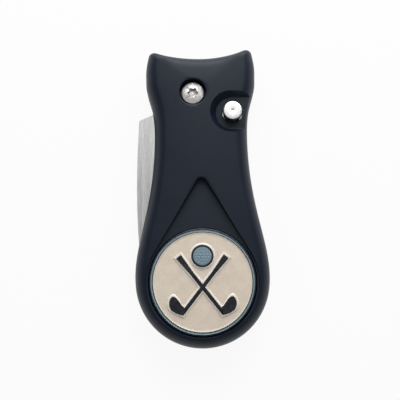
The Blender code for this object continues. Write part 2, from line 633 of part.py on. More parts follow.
def recess_cutter():
    """The button's recess: half round and leaning out to the left, open at the handle's side."""
    right_end = EAR_HALF_WIDTH + CUT_PAST
    outline = [(right_end, BUTTON.y + RECESS_FLOOR_RADIUS)]
    outline += arc(BUTTON, RECESS_FLOOR_RADIUS, math.pi / 2, math.pi * 3 / 2, 24)
    outline.append((right_end, BUTTON.y - RECESS_FLOOR_RADIUS))
    cutter = plate("cut_button_recess", [outline], RECESS_FLOOR, FRONT_HEIGHT + CUT_PAST, CUTTERS)
    climb = 1.0 + CUT_PAST / (FRONT_HEIGHT - RECESS_FLOOR)
    widening = 1.0 + (RECESS_RIM_RADIUS / RECESS_FLOOR_RADIUS - 1.0) * climb
    for vertex in cutter.data.vertices:
        if vertex.co.z > FRONT_HEIGHT:
            vertex.co.y = BUTTON.y + (vertex.co.y - BUTTON.y) * widening
            if vertex.co.x < BUTTON.x + SEAT_GAP:
                vertex.co.x = BUTTON.x + (vertex.co.x - BUTTON.x) * widening - RECESS_LEAN * climb
    return cutter


def back_shell(look, fork_room, collar_room):
    """The back half of the handle, with the spring well, the button's bore and the screw holes."""
    outline = handle_outline()
    rings = []
    roll_steps = 4
    for step in range(roll_steps, -1, -1):
        turn = math.pi / 2 * step / roll_steps
        rings.append(inset_outline(outline, BACK_ROLL * (1.0 - math.cos(turn)),
                                   BACK_ROLL * (1.0 - math.sin(turn))))
    rings.append(inset_outline(outline, 0.0, SEAM_LOW))
    shell = loft("back_shell", rings, PARTS, look)

    well_inner = FORK_SPRING_RADIUS - FORK_SPRING_WIRE - FORK_SPRING_WELL_GAP
    well_outer = FORK_SPRING_RADIUS + FORK_SPRING_WIRE + FORK_SPRING_WELL_GAP
    well = turned("cut_spring_well", [(well_inner, FORK_SPRING_WELL_FLOOR), (well_inner, CAVITY_CEILING),
                                      (well_outer, CAVITY_CEILING), (well_outer, FORK_SPRING_WELL_FLOOR)],
                  CUTTERS, at=PIVOT, closed=True)
    leg_half = FORK_SPRING_WIRE + RUN_GAP
    leg_end = PIVOT.y - FORK_SPRING_RADIUS - FORK_SPRING_LEG - SIDE_GAP
    leg_slot = box("cut_spring_leg_slot", (PIVOT.x - leg_half, leg_end, FORK_SPRING_WELL_FLOOR),
                   (PIVOT.x + leg_half, PIVOT.y - FORK_SPRING_RADIUS, CAVITY_CEILING), CUTTERS)
    flange_seat = cylinder("cut_flange_seat", PIVOT, POST_FLANGE_RADIUS + SIDE_GAP, -CUT_PAST,
                           POST_FLANGE_TOP + SEAT_GAP, CUTTERS)
    post_hole = cylinder("cut_back_post_hole", PIVOT, POST_RADIUS + RUN_GAP, -CUT_PAST, CAVITY_CEILING,
                         CUTTERS)
    washer_seat = cylinder("cut_back_washer_seat", PIVOT, WASHER_BACK_RADIUS + RUN_GAP,
                           CAVITY_FLOOR - WASHER_SUNK, CAVITY_CEILING, CUTTERS)
    spring_bore = cylinder("cut_button_spring_bore", BUTTON, BUTTON_CUP_RADIUS, BUTTON_SPRING_FLOOR,
                           CAVITY_CEILING, CUTTERS)
    subtract(shell, fork_room, collar_room, well, leg_slot, flange_seat, post_hole, washer_seat, spring_bore)
    for number, spot in enumerate(SHELL_SCREW_PLACES, start=1):
        head_seat = cylinder(f"cut_screw_seat_{number}", spot, SHELL_SCREW_HEAD_RADIUS + SIDE_GAP, -CUT_PAST,
                             SHELL_SCREW_SUNK + SHELL_SCREW_HEAD_THICKNESS + SEAT_GAP, CUTTERS,
                             steps=SMALL_STEPS)
        hole = cylinder(f"cut_shell_screw_hole_{number}", spot, SHELL_SCREW_RADIUS + RUN_GAP, -CUT_PAST,
                        CAVITY_CEILING, CUTTERS, steps=SMALL_STEPS)
        subtract(shell, head_seat, hole)
    smooth(shell)
    return shell


# ---------------------------------------------------------------- fork, pivot and springs
def circle(middle, radius, steps):
    """A closed round outline."""
    return arc(middle, radius, 0.0, math.tau * (steps - 1) / steps, steps - 1)


def fork_blade(look):
    """The two-pronged blade with its hub, lock notches and the hole for the spring's leg."""
    bore = circle((0.0, 0.0), POST_RADIUS + RUN_GAP, CIRCLE_STEPS)
    leg_hole = circle(polar(FORK_SPRING_RADIUS, FORK_SPRING_START), FORK_SPRING_WIRE + RUN_GAP, 16)
    return plate("fork_blade", [fork_outline(), bore, leg_hole], FORK_BOTTOM, FORK_TOP, PARTS, look, PIVOT)


def pivot_screw(look):
    """The domed front screw with a six-lobe recess."""
    head_foot = SCREW_HEAD_SEAT + SEAT_GAP
    head_top = head_foot + SCREW_HEAD_THICKNESS
    dome = []
    for share in (0.0, 0.3, 0.6, 0.85, 1.0):
        dome.append((SCREW_HEAD_RADIUS * share, head_top - SCREW_HEAD_DOME * share**2))
    profile = dome + [(SCREW_HEAD_RADIUS, head_foot), (SCREW_SHANK_RADIUS, head_foot),
                      (SCREW_SHANK_RADIUS, SCREW_SHANK_TIP), (0.0, SCREW_SHANK_TIP)]
    screw = turned("pivot_screw", profile, PARTS, look, PIVOT)
    lobes = []
    lobe_points = 36
    for index in range(lobe_points):
        turn = SCREW_RECESS_TURN + math.tau * index / lobe_points
        lobe = 1.0 - SCREW_LOBE_DEPTH * (1.0 - math.cos(6 * turn)) / 2
        lobes.append(polar(SCREW_RECESS_RADIUS * lobe, turn))
    recess = plate("cut_six_lobe", [lobes], head_top - SCREW_RECESS_DEPTH, head_top + CUT_PAST, CUTTERS,
                   at=PIVOT)
    subtract(screw, recess)
    return screw


def pivot_post(look):
    """The threaded post that the fork turns on, with its flange and coin slot at the back."""
    profile = [(0.0, POST_BORE_FLOOR), (POST_BORE_RADIUS, POST_BORE_FLOOR), (POST_BORE_RADIUS, POST_TOP),
               (POST_RADIUS, POST_TOP), (POST_RADIUS, POST_FLANGE_TOP),
               (POST_FLANGE_RADIUS, POST_FLANGE_TOP), (POST_FLANGE_RADIUS, POST_FLANGE_SUNK),
               (0.0, POST_FLANGE_SUNK)]
    post = turned("pivot_post", profile, PARTS, look, PIVOT)
    reach = POST_FLANGE_RADIUS + CUT_PAST
    slot = box("cut_post_slot", (PIVOT.x - reach, PIVOT.y - POST_SLOT_WIDTH / 2, -CUT_PAST),
               (PIVOT.x + reach, PIVOT.y + POST_SLOT_WIDTH / 2, POST_FLANGE_SUNK + POST_SLOT_DEPTH), CUTTERS)
    subtract(post, slot)
    return post


def washer(name, radius, low, look):
    """A thin thrust washer round the pivot post."""
    inner = POST_RADIUS + RUN_GAP
    high = low + WASHER_THICKNESS
    return turned(name, [(inner, low), (inner, high), (radius, high), (radius, low)], PARTS, look, PIVOT,
                  closed=True)


def fork_spring(look):
    """The torsion spring that throws the fork out: a leg in the back shell, a coil, a leg in the hub."""
    steps_per_turn = 14
    steps = FORK_SPRING_TURNS * steps_per_turn
    start_height = FORK_SPRING_WELL_FLOOR + FORK_SPRING_WIRE + SIDE_GAP / 2
    reach = FORK_SPRING_RADIUS + FORK_SPRING_LEG
    points = []
    for share in (1.0, 0.66, 0.33):
        spot = polar(FORK_SPRING_RADIUS + (reach - FORK_SPRING_RADIUS) * share, FORK_SPRING_START)
        points.append((*spot, start_height))
    for step in range(steps + 1):
        turn = FORK_SPRING_START + math.tau * step / steps_per_turn
        height = start_height + FORK_SPRING_PITCH * step / steps_per_turn
        points.append((*polar(FORK_SPRING_RADIUS, turn), height))
    last = points[-1]
    points.append((last[0], last[1], (last[2] + FORK_TOP) / 2))
    points.append((last[0], last[1], FORK_TOP - SIDE_GAP))
    return wire("fork_spring", points, FORK_SPRING_WIRE, PARTS, look, PIVOT)


def lock_button(look):
    """The stepped plunger: head, neck, lock collar and a cup for its spring."""
    profile = [(0.0, BUTTON_TOP - DIMPLE_DEPTH), (DIMPLE_RADIUS, BUTTON_TOP),
               (BUTTON_RADIUS - BUTTON_CHAMFER, BUTTON_TOP), (BUTTON_RADIUS, BUTTON_TOP - BUTTON_CHAMFER),
               (BUTTON_RADIUS, BUTTON_SHOULDER), (BUTTON_NECK_RADIUS, BUTTON_SHOULDER - BUTTON_CHAMFER),
               (BUTTON_NECK_RADIUS, FORK_TOP), (BUTTON_COLLAR_RADIUS, FORK_TOP),
               (BUTTON_COLLAR_RADIUS, FORK_BOTTOM), (BUTTON_CUP_RADIUS, FORK_BOTTOM),
               (BUTTON_CUP_RADIUS, FORK_BOTTOM + BUTTON_CUP_DEPTH), (0.0, FORK_BOTTOM + BUTTON_CUP_DEPTH)]
    return turned("lock_button", profile, PARTS, look, BUTTON)


def button_spring(look):
    """The compression spring between the back shell and the button's cup."""
    steps_per_turn = 11
    low = BUTTON_SPRING_FLOOR + BUTTON_SPRING_WIRE + SEAT_GAP
    high = FORK_BOTTOM + BUTTON_CUP_DEPTH - BUTTON_SPRING_WIRE - SEAT_GAP
    dead_turn = 2 * BUTTON_SPRING_WIRE + LAY_GAP
    points = []
    steps = (BUTTON_SPRING_TURNS + 2) * steps_per_turn
    for step in range(steps + 1):
        turns = step / steps_per_turn
        live = min(max(turns - 1.0, 0.0), BUTTON_SPRING_TURNS)
        ends = min(turns, 1.0) + max(turns - 1.0 - BUTTON_SPRING_TURNS, 0.0)
        rise = dead_turn * ends + (high - low - 2 * dead_turn) * live / BUTTON_SPRING_TURNS
        points.append((*polar(BUTTON_SPRING_RADIUS, math.tau * turns), low + rise))
    return wire("button_spring", points, BUTTON_SPRING_WIRE, PARTS, look, BUTTON)


# ---------------------------------------------------------------- marker
def marker_magnet(look):
    """The disc magnet that holds the coin."""
    magnet = cylinder("marker_magnet", (0.0, 0.0), MAGNET_RADIUS, MAGNET_FLOOR, MAGNET_TOP, PARTS, look)
    bevel = magnet.modifiers.new("Edge", "BEVEL")
    bevel.width = MAGNET_BEVEL
    bevel.segments = 1
    smooth(magnet)
    return magnet


def marker_coin(look):
    """The coin: a raised rim, a groove for the ring enamel and a well for the field enamel."""
    profile = [(0.0, ENAMEL_FLOOR), (FIELD_RADIUS, ENAMEL_FLOOR), (FIELD_RADIUS, COIN_TOP),
               (RING_INNER, COIN_TOP), (RING_INNER, ENAMEL_FLOOR), (RING_OUTER, ENAMEL_FLOOR),
               (RING_OUTER, COIN_TOP), (COIN_RADIUS - COIN_EDGE_BEVEL, COIN_TOP),
               (COIN_RADIUS, COIN_TOP - COIN_EDGE_BEVEL), (COIN_RADIUS, COIN_FLOOR + COIN_EDGE_BEVEL),
               (COIN_RADIUS - COIN_EDGE_BEVEL, COIN_FLOOR), (0.0, COIN_FLOOR)]
    return turned("marker_coin", profile, PARTS, look, steps=48)


def ring(name, inner, outer, low, high, look, at=(0.0, 0.0, 0.0), steps=48):
    """A flat ring."""
    return turned(name, [(inner, low), (inner, high), (outer, high), (outer, low)], PARTS, look, at,
                  closed=True, steps=steps)


def club_outline(side):
    """One golf club, leaning to a side, with its grip at the top and its toe pointing out."""
    shaft = CLUB_SHAFT_WIDTH / 2
    grip = CLUB_GRIP_WIDTH / 2
    top = CLUB_ABOVE_CROSSING
    foot = -CLUB_BELOW_CROSSING
    grip_foot = top - CLUB_GRIP_LENGTH
    neck = foot + CLUB_HEAD_WIDTH * 0.75
    toe = CLUB_HEAD_LENGTH
    flat = [(-shaft, foot + shaft), (-shaft, grip_foot), (-grip, top), (grip, top), (shaft, grip_foot),
            (shaft, neck)]
    flat += bezier((shaft, neck), (toe * 0.4, neck), (toe * 0.5, foot + CLUB_HEAD_WIDTH),
                   (toe * 0.85, foot + CLUB_HEAD_WIDTH), 4)
    flat += bezier((toe * 0.85, foot + CLUB_HEAD_WIDTH), (toe * 1.15, foot + CLUB_HEAD_WIDTH),
                   (toe * 1.0, foot), (toe * 0.6, foot - shaft), 5)
    flat += bezier((toe * 0.6, foot - shaft), (toe * 0.3, foot - shaft), (0.0, foot),
                   (-shaft, foot + shaft), 3)
    lean = Matrix.Rotation(CLUB_LEAN, 2)
    points = []
    for x, y in flat[1:]:
        spot = lean @ Vector((x, y))
        points.append((side * spot.x, spot.y - CLUB_CROSSING_DROP))
    return points


def marker_clubs(look):
    """Two crossed clubs as one raised applique."""
    low = COIN_TOP + LAY_GAP
    high = low + APPLIQUE_THICKNESS
    clubs = plate("marker_clubs", [club_outline(1)], low, high, PARTS, look)
    unite(clubs, plate("join_second_club", [club_outline(-1)], low, high, CUTTERS))
    return clubs


def marker_ball(metal, enamel):
    """A golf ball above the clubs: a metal ring round an enamel disc."""
    low = COIN_TOP + LAY_GAP
    middle = (0.0, BALL_HEIGHT, 0.0)
    inner = BALL_RADIUS - BALL_RING_WIDTH
    ring("marker_ball_ring", inner, BALL_RADIUS, low, low + APPLIQUE_THICKNESS, metal, middle, steps=32)
    cylinder("marker_ball_enamel", middle, inner - LAY_GAP, low, low + APPLIQUE_THICKNESS * 0.7, PARTS,
             enamel, steps=32)


# ---------------------------------------------------------------- fasteners
def shell_screw(number, spot, look):
    """A screw from the back that holds the shells together."""
    head_top = SHELL_SCREW_SUNK + SHELL_SCREW_HEAD_THICKNESS
    tip = INSERT_TOP - SHELL_SCREW_TIP_GAP
    profile = [(0.0, tip), (SHELL_SCREW_RADIUS, tip), (SHELL_SCREW_RADIUS, head_top),
               (SHELL_SCREW_HEAD_RADIUS, head_top), (SHELL_SCREW_HEAD_RADIUS, SHELL_SCREW_SUNK),
               (0.0, SHELL_SCREW_SUNK)]
    screw = turned(f"shell_screw_{number}", profile, PARTS, look, (*spot, 0.0), steps=SMALL_STEPS)
    socket = cylinder(f"cut_screw_socket_{number}", spot, SHELL_SCREW_SOCKET_RADIUS, -CUT_PAST,
                      SHELL_SCREW_SUNK + SHELL_SCREW_SOCKET_DEPTH, CUTTERS, steps=6)
    subtract(screw, socket)
    return screw


def screw_insert(number, spot, look):
    """A brass insert in the front shell that a shell screw bites into."""
    return ring(f"screw_insert_{number}", INSERT_RADIUS - INSERT_WALL, INSERT_RADIUS, INSERT_FLOOR,
                INSERT_TOP, look, (*spot, 0.0), steps=SMALL_STEPS)


def build():
    """Build every piece of the tool."""
    soft_black = material("soft_touch_black", (0.031, 0.037, 0.048), 0.55, 0.0)
    brushed = material("brushed_blade", (0.55, 0.55, 0.54), 0.35, 1.0)
    bright = material("bright_steel", (0.75, 0.75, 0.74), 0.25, 1.0)
    spring_steel = material("spring_steel", (0.5, 0.5, 0.5), 0.4, 1.0)
    brass = material("brass", (0.7, 0.52, 0.25), 0.35, 1.0)
    nickel = material("black_nickel", (0.05, 0.055, 0.06), 0.35, 1.0)
    plated = material("plated_magnet", (0.6, 0.6, 0.6), 0.25, 1.0)
    cream = material("cream_enamel", (0.62, 0.53, 0.45), 0.3, 0.0)
    blue = material("blue_enamel", (0.21, 0.31, 0.38), 0.3, 0.0)
    nylon = material("white_nylon", (0.8, 0.8, 0.78), 0.5, 0.0)

    fork_room, collar_room = shell_cutters()
    front_shell(soft_black, fork_room, collar_room)
    back_shell(soft_black, fork_room, collar_room)
    fork_blade(brushed)
    pivot_screw(bright)
    pivot_post(bright)
    washer("washer_front", WASHER_FRONT_RADIUS, FORK_TOP + SEAT_GAP / 2, nylon)
    washer("washer_back", WASHER_BACK_RADIUS, FORK_BOTTOM - SEAT_GAP / 2 - WASHER_THICKNESS, nylon)
    fork_spring(spring_steel)
    lock_button(bright)
    button_spring(spring_steel)
    marker_magnet(plated)
    marker_coin(nickel)
    enamel_low = ENAMEL_FLOOR + LAY_GAP
    ring("marker_ring_enamel", RING_INNER + LAY_GAP, RING_OUTER - LAY_GAP, enamel_low, COIN_TOP - LAY_GAP,
         blue)
    cylinder("marker_field_enamel", (0.0, 0.0), FIELD_RADIUS - LAY_GAP, enamel_low, COIN_TOP, PARTS, cream,
             steps=48)
    marker_clubs(nickel)
    marker_ball(nickel, blue)
    for number, spot in enumerate(SHELL_SCREW_PLACES, start=1):
        shell_screw(number, spot, bright)
        screw_insert(number, spot, brass)


clear_scene()
PARTS = new_collection("divot_repair_tool")
CUTTERS = new_collection("cutters")
build()
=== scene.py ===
"""Looks of a switchblade divot repair tool with a magnetic ball marker.

The tool lies on its back on z = 0. +Z points out of its front face and +Y runs from the ball marker to
the eared end. Lengths are in metres. Every sub-assembly is a class with its sizes as fields.
"""

import logging
import math
from dataclasses import dataclass
from enum import Enum

import bmesh
import bpy
from mathutils import Matrix, Vector
from mathutils.geometry import interpolate_bezier


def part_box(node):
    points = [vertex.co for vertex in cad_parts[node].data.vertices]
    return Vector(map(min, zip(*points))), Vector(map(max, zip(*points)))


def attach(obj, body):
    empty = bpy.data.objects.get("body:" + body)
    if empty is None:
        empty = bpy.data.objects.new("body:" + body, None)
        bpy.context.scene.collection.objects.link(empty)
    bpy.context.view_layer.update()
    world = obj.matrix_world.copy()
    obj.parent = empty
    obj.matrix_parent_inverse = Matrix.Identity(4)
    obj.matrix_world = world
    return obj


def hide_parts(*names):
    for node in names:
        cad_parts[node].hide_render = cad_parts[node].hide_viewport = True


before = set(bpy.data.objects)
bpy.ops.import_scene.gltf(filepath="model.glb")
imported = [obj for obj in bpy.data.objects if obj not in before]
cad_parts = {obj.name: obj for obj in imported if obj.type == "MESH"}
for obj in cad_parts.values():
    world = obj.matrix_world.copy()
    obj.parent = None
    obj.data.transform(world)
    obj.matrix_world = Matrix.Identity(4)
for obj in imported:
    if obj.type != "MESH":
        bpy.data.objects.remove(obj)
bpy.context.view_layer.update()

MM = 0.001

MERGE_DISTANCE = 0.0005 * MM            # doubles in a new mesh
WELD_DISTANCE = 0.002 * MM              # loose triangles of a copied node
FLAT_ANGLE = math.radians(1.0)          # faces of a copied node that are one face
EDGE_ANGLE = math.radians(50.0)         # edges of a copied node that are rounded
SHARP_ANGLE = math.radians(32.0)        # edges that stay sharp in shading
ROUND_STEPS = 96
FINE_STEPS = 160
SMALL_STEPS = 48

Colour = tuple[float, float, float]
Point = tuple[float, float]
Piece = bpy.types.Object
Material = bpy.types.Material
Tree = bpy.types.NodeTree
Socket = bpy.types.NodeSocket

UP_THE_TOOL = Vector((0.0, 1.0, 0.0))

log = logging.getLogger("divot_tool")


# ---------------------------------------------------------------- measures
def at_height(height: float) -> Vector:
    """A height as a vector."""
    return Vector((0.0, 0.0, height))


def middle_of(node: str) -> Vector:
    """The middle of a CAD node's box, in plan (z is 0)."""
    low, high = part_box(node)
    return Vector(((low.x + high.x) / 2, (low.y + high.y) / 2, 0.0))


def polar(radius: float, angle: float, middle: Vector = Vector((0.0, 0.0, 0.0))) -> Vector:
    """A point in plan at a radius and an angle from a middle."""
    return Vector((middle.x + radius * math.cos(angle), middle.y + radius * math.sin(angle), 0.0))


def arc(middle: Vector, radius: float, start: float, end: float, steps: int) -> list[Vector]:
    """Points along an arc in plan.

    Args:
        middle: The arc's middle.
        radius: Its radius.
        start: The angle of its first point.
        end: The angle of its last point.
        steps: The number of spans.

    Returns:
        The points, both ends included.
    """
    return [polar(radius, start + (end - start) * step / steps, middle) for step in range(steps + 1)]


def span(knot: Vector, out: Vector, back: Vector, end: Vector, steps: int) -> list[Vector]:
    """Points along a cubic curve, without its first point."""
    return [spot.copy() for spot in interpolate_bezier(knot, out, back, end, steps + 1)[1:]]


def outward_ways(outline: list[Vector]) -> list[Vector]:
    """The way out of a counter-clockwise outline at each of its points.

    Args:
        outline: Points in plan, counter-clockwise.

    Returns:
        A unit way for each point.
    """
    ways = []
    for index in range(len(outline)):
        along = (outline[(index + 1) % len(outline)] - outline[index - 1]).normalized()
        ways.append(Vector((along.y, -along.x, 0.0)))
    return ways


def corner(radius: float, face: float, edge: float, steps: int = 4, way: float = -1.0) -> list[Point]:
    """A rounded corner of a turned profile, from a face out to the side.

    Args:
        radius: The side's radius.
        face: The face's height.
        edge: The rounding's radius.
        steps: The number of spans.
        way: -1 where the side runs down from the face, 1 where it runs up.

    Returns:
        (radius, height) points.
    """
    turns = [math.pi / 2 * step / steps for step in range(steps + 1)]
    return [(radius - edge * (1.0 - math.sin(turn)), face + way * edge * (1.0 - math.cos(turn)))
            for turn in turns]


# ---------------------------------------------------------------- making pieces
def lay_loop(mesh: bmesh.types.BMesh, points: list[Vector], closed: bool = True) -> list[bmesh.types.BMEdge]:
    """Draw a line of edges through points.

    Args:
        mesh: The mesh to draw in.
        points: The line's points.
        closed: Whether the last point joins the first.

    Returns:
        The edges, in order.
    """
    verts = [mesh.verts.new(point) for point in points]
    edges = [mesh.edges.new(pair) for pair in zip(verts, verts[1:])]
    if closed:
        edges.append(mesh.edges.new((verts[-1], verts[0])))
    return edges


def to_piece(name: str, mesh: bmesh.types.BMesh) -> Piece:
    """Turn a bmesh into an object with its faces pointing outwards.

    Args:
        name: The object's name.
        mesh: The mesh, which is freed.

    Returns:
        The object, at the origin.
    """
    bmesh.ops.remove_doubles(mesh, verts=mesh.verts, dist=MERGE_DISTANCE)
    bmesh.ops.recalc_face_normals(mesh, faces=mesh.faces)
    data = bpy.data.meshes.new(name)
    mesh.to_mesh(data)
    mesh.free()
    piece = bpy.data.objects.new(name, data)
    bpy.context.scene.collection.objects.link(piece)
    return piece


def turned(name: str, profile: list[Point], middle: Vector, steps: int = ROUND_STEPS,
           closed: bool = False) -> Piece:
    """Turn a profile about an upright axis.

    Args:
        name: The piece's name.
        profile: (radius, height) points.
        middle: Where the axis stands.
        steps: The number of steps round the turn.
        closed: Whether the last point joins the first.

    Returns:
        The turned piece.
    """
    mesh = bmesh.new()
    edges = lay_loop(mesh, [Vector((middle.x + radius, middle.y, height)) for radius, height in profile],
                     closed)
    bmesh.ops.spin(mesh, geom=mesh.verts[:] + edges, cent=middle, axis=(0.0, 0.0, 1.0), angle=math.tau,
                   steps=steps, use_merge=True)
    bmesh.ops.remove_doubles(mesh, verts=mesh.verts, dist=MERGE_DISTANCE)
    bmesh.ops.dissolve_degenerate(mesh, dist=MERGE_DISTANCE, edges=mesh.edges)
    return to_piece(name, mesh)


def lofted(name: str, rings: list[list[Vector]]) -> Piece:
    """Draw a closed body up through rings of points that lie over each other.

    Args:
        name: The piece's name.
        rings: The rings, lowest first, all with the same number of points.

    Returns:
        The closed body.
    """
    mesh = bmesh.new()
    edges = lay_loop(mesh, rings[0])
    bmesh.ops.contextual_create(mesh, geom=edges)
    places = {edge.verts[0]: index for index, edge in enumerate(edges)}
    for ring in rings[1:]:
        grown = bmesh.ops.extrude_edge_only(mesh, edges=edges)["geom"]
        edges = [part for part in grown if isinstance(part, bmesh.types.BMEdge) and part.is_boundary]
        raised = {}
        for vert in (part for part in grown if isinstance(part, bmesh.types.BMVert)):
            for edge in vert.link_edges:
                below = edge.other_vert(vert)
                if below in places:
                    raised[vert] = places[below]
        for vert, index in raised.items():
            vert.co = ring[index]
        places = raised
    bmesh.ops.contextual_create(mesh, geom=edges)
    return to_piece(name, mesh)


def prism(name: str, outline: list[Vector], levels: list[Point]) -> Piece:
    """Draw an outline up through levels, grown or shrunk at each.

    Args:
        name: The piece's name.
        outline: The outline in plan, counter-clockwise.
        levels: (growth, height) for each level, lowest first.

    Returns:
        The closed body.
    """
    outward = outward_ways(outline)
    return lofted(name, [[point + away * growth + at_height(height) for point, away in zip(outline, outward)]
                         for growth, height in levels])


def bar(name: str, middle: Vector, radius: float, low: float, high: float, steps: int = ROUND_STEPS) -> Piece:
    """A plain round bar between two heights.

    Args:
        name: The piece's name.
        middle: Where it stands.
        radius: Its radius.
        low: Its foot.
        high: Its top.
        steps: The number of steps round it.

    Returns:
        The bar.
    """
    mesh = bmesh.new()
    bmesh.ops.create_cone(mesh, cap_ends=True, segments=steps, radius1=radius, radius2=radius,
                          depth=high - low)
    bmesh.ops.translate(mesh, vec=(middle.x, middle.y, (low + high) / 2), verts=mesh.verts)
    return to_piece(name, mesh)


def block(name: str, low: Vector, high: Vector) -> Piece:
    """A plain block between two corners.

    Args:
        name: The piece's name.
        low: Its lowest corner.
        high: Its highest corner.

    Returns:
        The block.
    """
    mesh = bmesh.new()
    bmesh.ops.create_cube(mesh, size=1.0)
    bmesh.ops.scale(mesh, vec=high - low, verts=mesh.verts)
    bmesh.ops.translate(mesh, vec=(low + high) / 2, verts=mesh.verts)
    return to_piece(name, mesh)


def work(piece: Piece, tools: list[Piece], operation: str = "DIFFERENCE") -> None:
    """Cut tools out of a piece, or join them to it, and take the tools away.

    Args:
        piece: The piece that is worked.
        tools: Closed bodies, which are removed afterwards.
        operation: "DIFFERENCE" or "UNION".
    """
    for tool in tools:
        step = piece.modifiers.new(tool.name, "BOOLEAN")
        step.operation = operation
        step.solver = "EXACT"
        step.object = tool
    settle(piece)
    for tool in tools:
        bpy.data.objects.remove(tool, do_unlink=True)


def settle(piece: Piece) -> None:
    """Apply a piece's modifiers to its mesh.

    Args:
        piece: The piece.
    """
    bpy.context.view_layer.update()
    graph = bpy.context.evaluated_depsgraph_get()
    data = bpy.data.meshes.new_from_object(piece.evaluated_get(graph))
    piece.modifiers.clear()
    piece.data = data


def eased_copy(name: str, node: str, edge: float) -> Piece:
    """Copy a CAD node's mesh, merged and with its sharp edges rounded.

    Args:
        name: The new piece's name.
        node: The CAD node.
        edge: The width of the rounding.

    Returns:
        The new piece.
    """
    mesh = bmesh.new()
    mesh.from_mesh(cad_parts[node].data)
    bmesh.ops.remove_doubles(mesh, verts=mesh.verts, dist=WELD_DISTANCE)
    bmesh.ops.dissolve_limit(mesh, angle_limit=FLAT_ANGLE, verts=mesh.verts, edges=mesh.edges)
    sharp = [seam for seam in mesh.edges
             if len(seam.link_faces) == 2 and seam.calc_face_angle(0.0) > EDGE_ANGLE]
    bmesh.ops.bevel(mesh, geom=sharp, offset=edge, affect="EDGES", segments=2, profile=0.5,
                    material=-1, clamp_overlap=True)
    return to_piece(name, mesh)


def dress(piece: Piece, look: Material, body: str, slot: str, *replaces: str) -> Piece:
    """Shade a piece, give it its finish and hang it on its body.

    Args:
        piece: The finished piece.
        look: Its material.
        body: The CAD body that it moves with.
        slot: The record's material slot, not used.
        replaces: The CAD nodes that it stands for.

    Returns:
        The same piece.
    """
    piece.data.materials.clear()
    piece.data.materials.append(look)
    piece.data.shade_smooth()
    piece.data.set_sharp_from_angle(angle=SHARP_ANGLE)
    evened = piece.modifiers.new("Even shading", "WEIGHTED_NORMAL")
    evened.keep_sharp = True
    evened.weight = 90
    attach(piece, body)
    if replaces:
        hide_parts(*replaces)
    log.info("%s: %d faces on %s", piece.name, len(piece.data.polygons), body)
    return piece


def redress(node: str, look: Material) -> None:
    """Give a CAD node that stays a better finish.

    Args:
        node: The CAD node.
        look: Its finish.
    """
    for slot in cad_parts[node].material_slots:
        slot.material = look
    log.info("%s: kept, finish %s", node, look.name)


# ---------------------------------------------------------------- shader nodes
def feed(tree: Tree, value: Socket | float, socket: Socket) -> None:
    """Link a socket to an input, or set the input to a number.

    Args:
        tree: The node tree.
        value: The value.
        socket: The input.
    """
    if isinstance(value, float):
        socket.default_value = value
    else:
        tree.links.new(value, socket)


def maths(tree: Tree, operation: str, first: Socket | float, second: Socket | float = 0.0) -> Socket:
    """A Math node's value.

    Args:
        tree: The node tree.
        operation: The node's operation.
        first: The first value.
        second: The second value.

    Returns:
        Its output.
    """
    node = tree.nodes.new("ShaderNodeMath")
    node.operation = operation
    feed(tree, first, node.inputs[0])
    feed(tree, second, node.inputs[1])
    return node.outputs["Value"]


def vector_maths(tree: Tree, operation: str, first: Socket, second: Socket) -> bpy.types.Node:
    """A Vector Math node on two vectors.

    Args:
        tree: The node tree.
        operation: The node's operation.
        first: The first vector.
        second: The second vector.

    Returns:
        The node.
    """
    node = tree.nodes.new("ShaderNodeVectorMath")
    node.operation = operation
    tree.links.new(first, node.inputs[0])
    tree.links.new(second, node.inputs[1])
    return node


def noise(tree: Tree, vector: Socket, scale: Socket | float, detail: float = 2.0,
          rough: float = 0.5) -> Socket:
    """A noise texture's value.

    Args:
        tree: The node tree.
        vector: Where the pattern is read.
        scale: The pattern's size, in features per metre.
        detail: The noise's detail.
        rough: The noise's roughness.

    Returns:
        Its output.
    """
    node = tree.nodes.new("ShaderNodeTexNoise")
    node.inputs["Detail"].default_value = detail
    node.inputs["Roughness"].default_value = rough
    tree.links.new(vector, node.inputs["Vector"])
    feed(tree, scale, node.inputs["Scale"])
    return node.outputs["Fac"]


def spread(tree: Tree, value: Socket, ends: Point, smooth: bool = False) -> Socket:
    """A value spread from between two ends to 0..1, clamped, smoothly or straight.

    Args:
        tree: The node tree.
        value: The value.
        ends: The two ends.
        smooth: Whether it eases in and out.

    Returns:
        The spread value.
    """
    node = tree.nodes.new("ShaderNodeMapRange")
    node.interpolation_type = "SMOOTHSTEP" if smooth else "LINEAR"
    node.inputs["From Min"].default_value = ends[0]
    node.inputs["From Max"].default_value = ends[1]
    tree.links.new(value, node.inputs["Value"])
    return node.outputs["Result"]


def mix_levels(tree: Tree, factor: Socket, first: Socket | float, second: float) -> Socket:
    """A mix of two numbers.

    Args:
        tree: The node tree.
        factor: The second one's share.
        first: The first value.
        second: The second value.

    Returns:
        The mixed number.
    """
    node = tree.nodes.new("ShaderNodeMix")
    node.data_type = "FLOAT"
    tree.links.new(factor, node.inputs["Factor"])
    feed(tree, first, node.inputs[2])
    feed(tree, second, node.inputs[3])
    return node.outputs[0]


def mix_colours(tree: Tree, factor: Socket, first: Socket | Colour, second: Colour) -> Socket:
    """A mix of two colours.

    Args:
        tree: The node tree.
        factor: The second one's share.
        first: The first colour.
        second: The second colour.

    Returns:
        The mixed colour.
    """
    node = tree.nodes.new("ShaderNodeMix")
    node.data_type = "RGBA"
    tree.links.new(factor, node.inputs["Factor"])
    if isinstance(first, tuple):
        node.inputs[6].default_value = (*first, 1.0)
    else:
        tree.links.new(first, node.inputs[6])
    node.inputs[7].default_value = (*second, 1.0)
    return node.outputs[2]


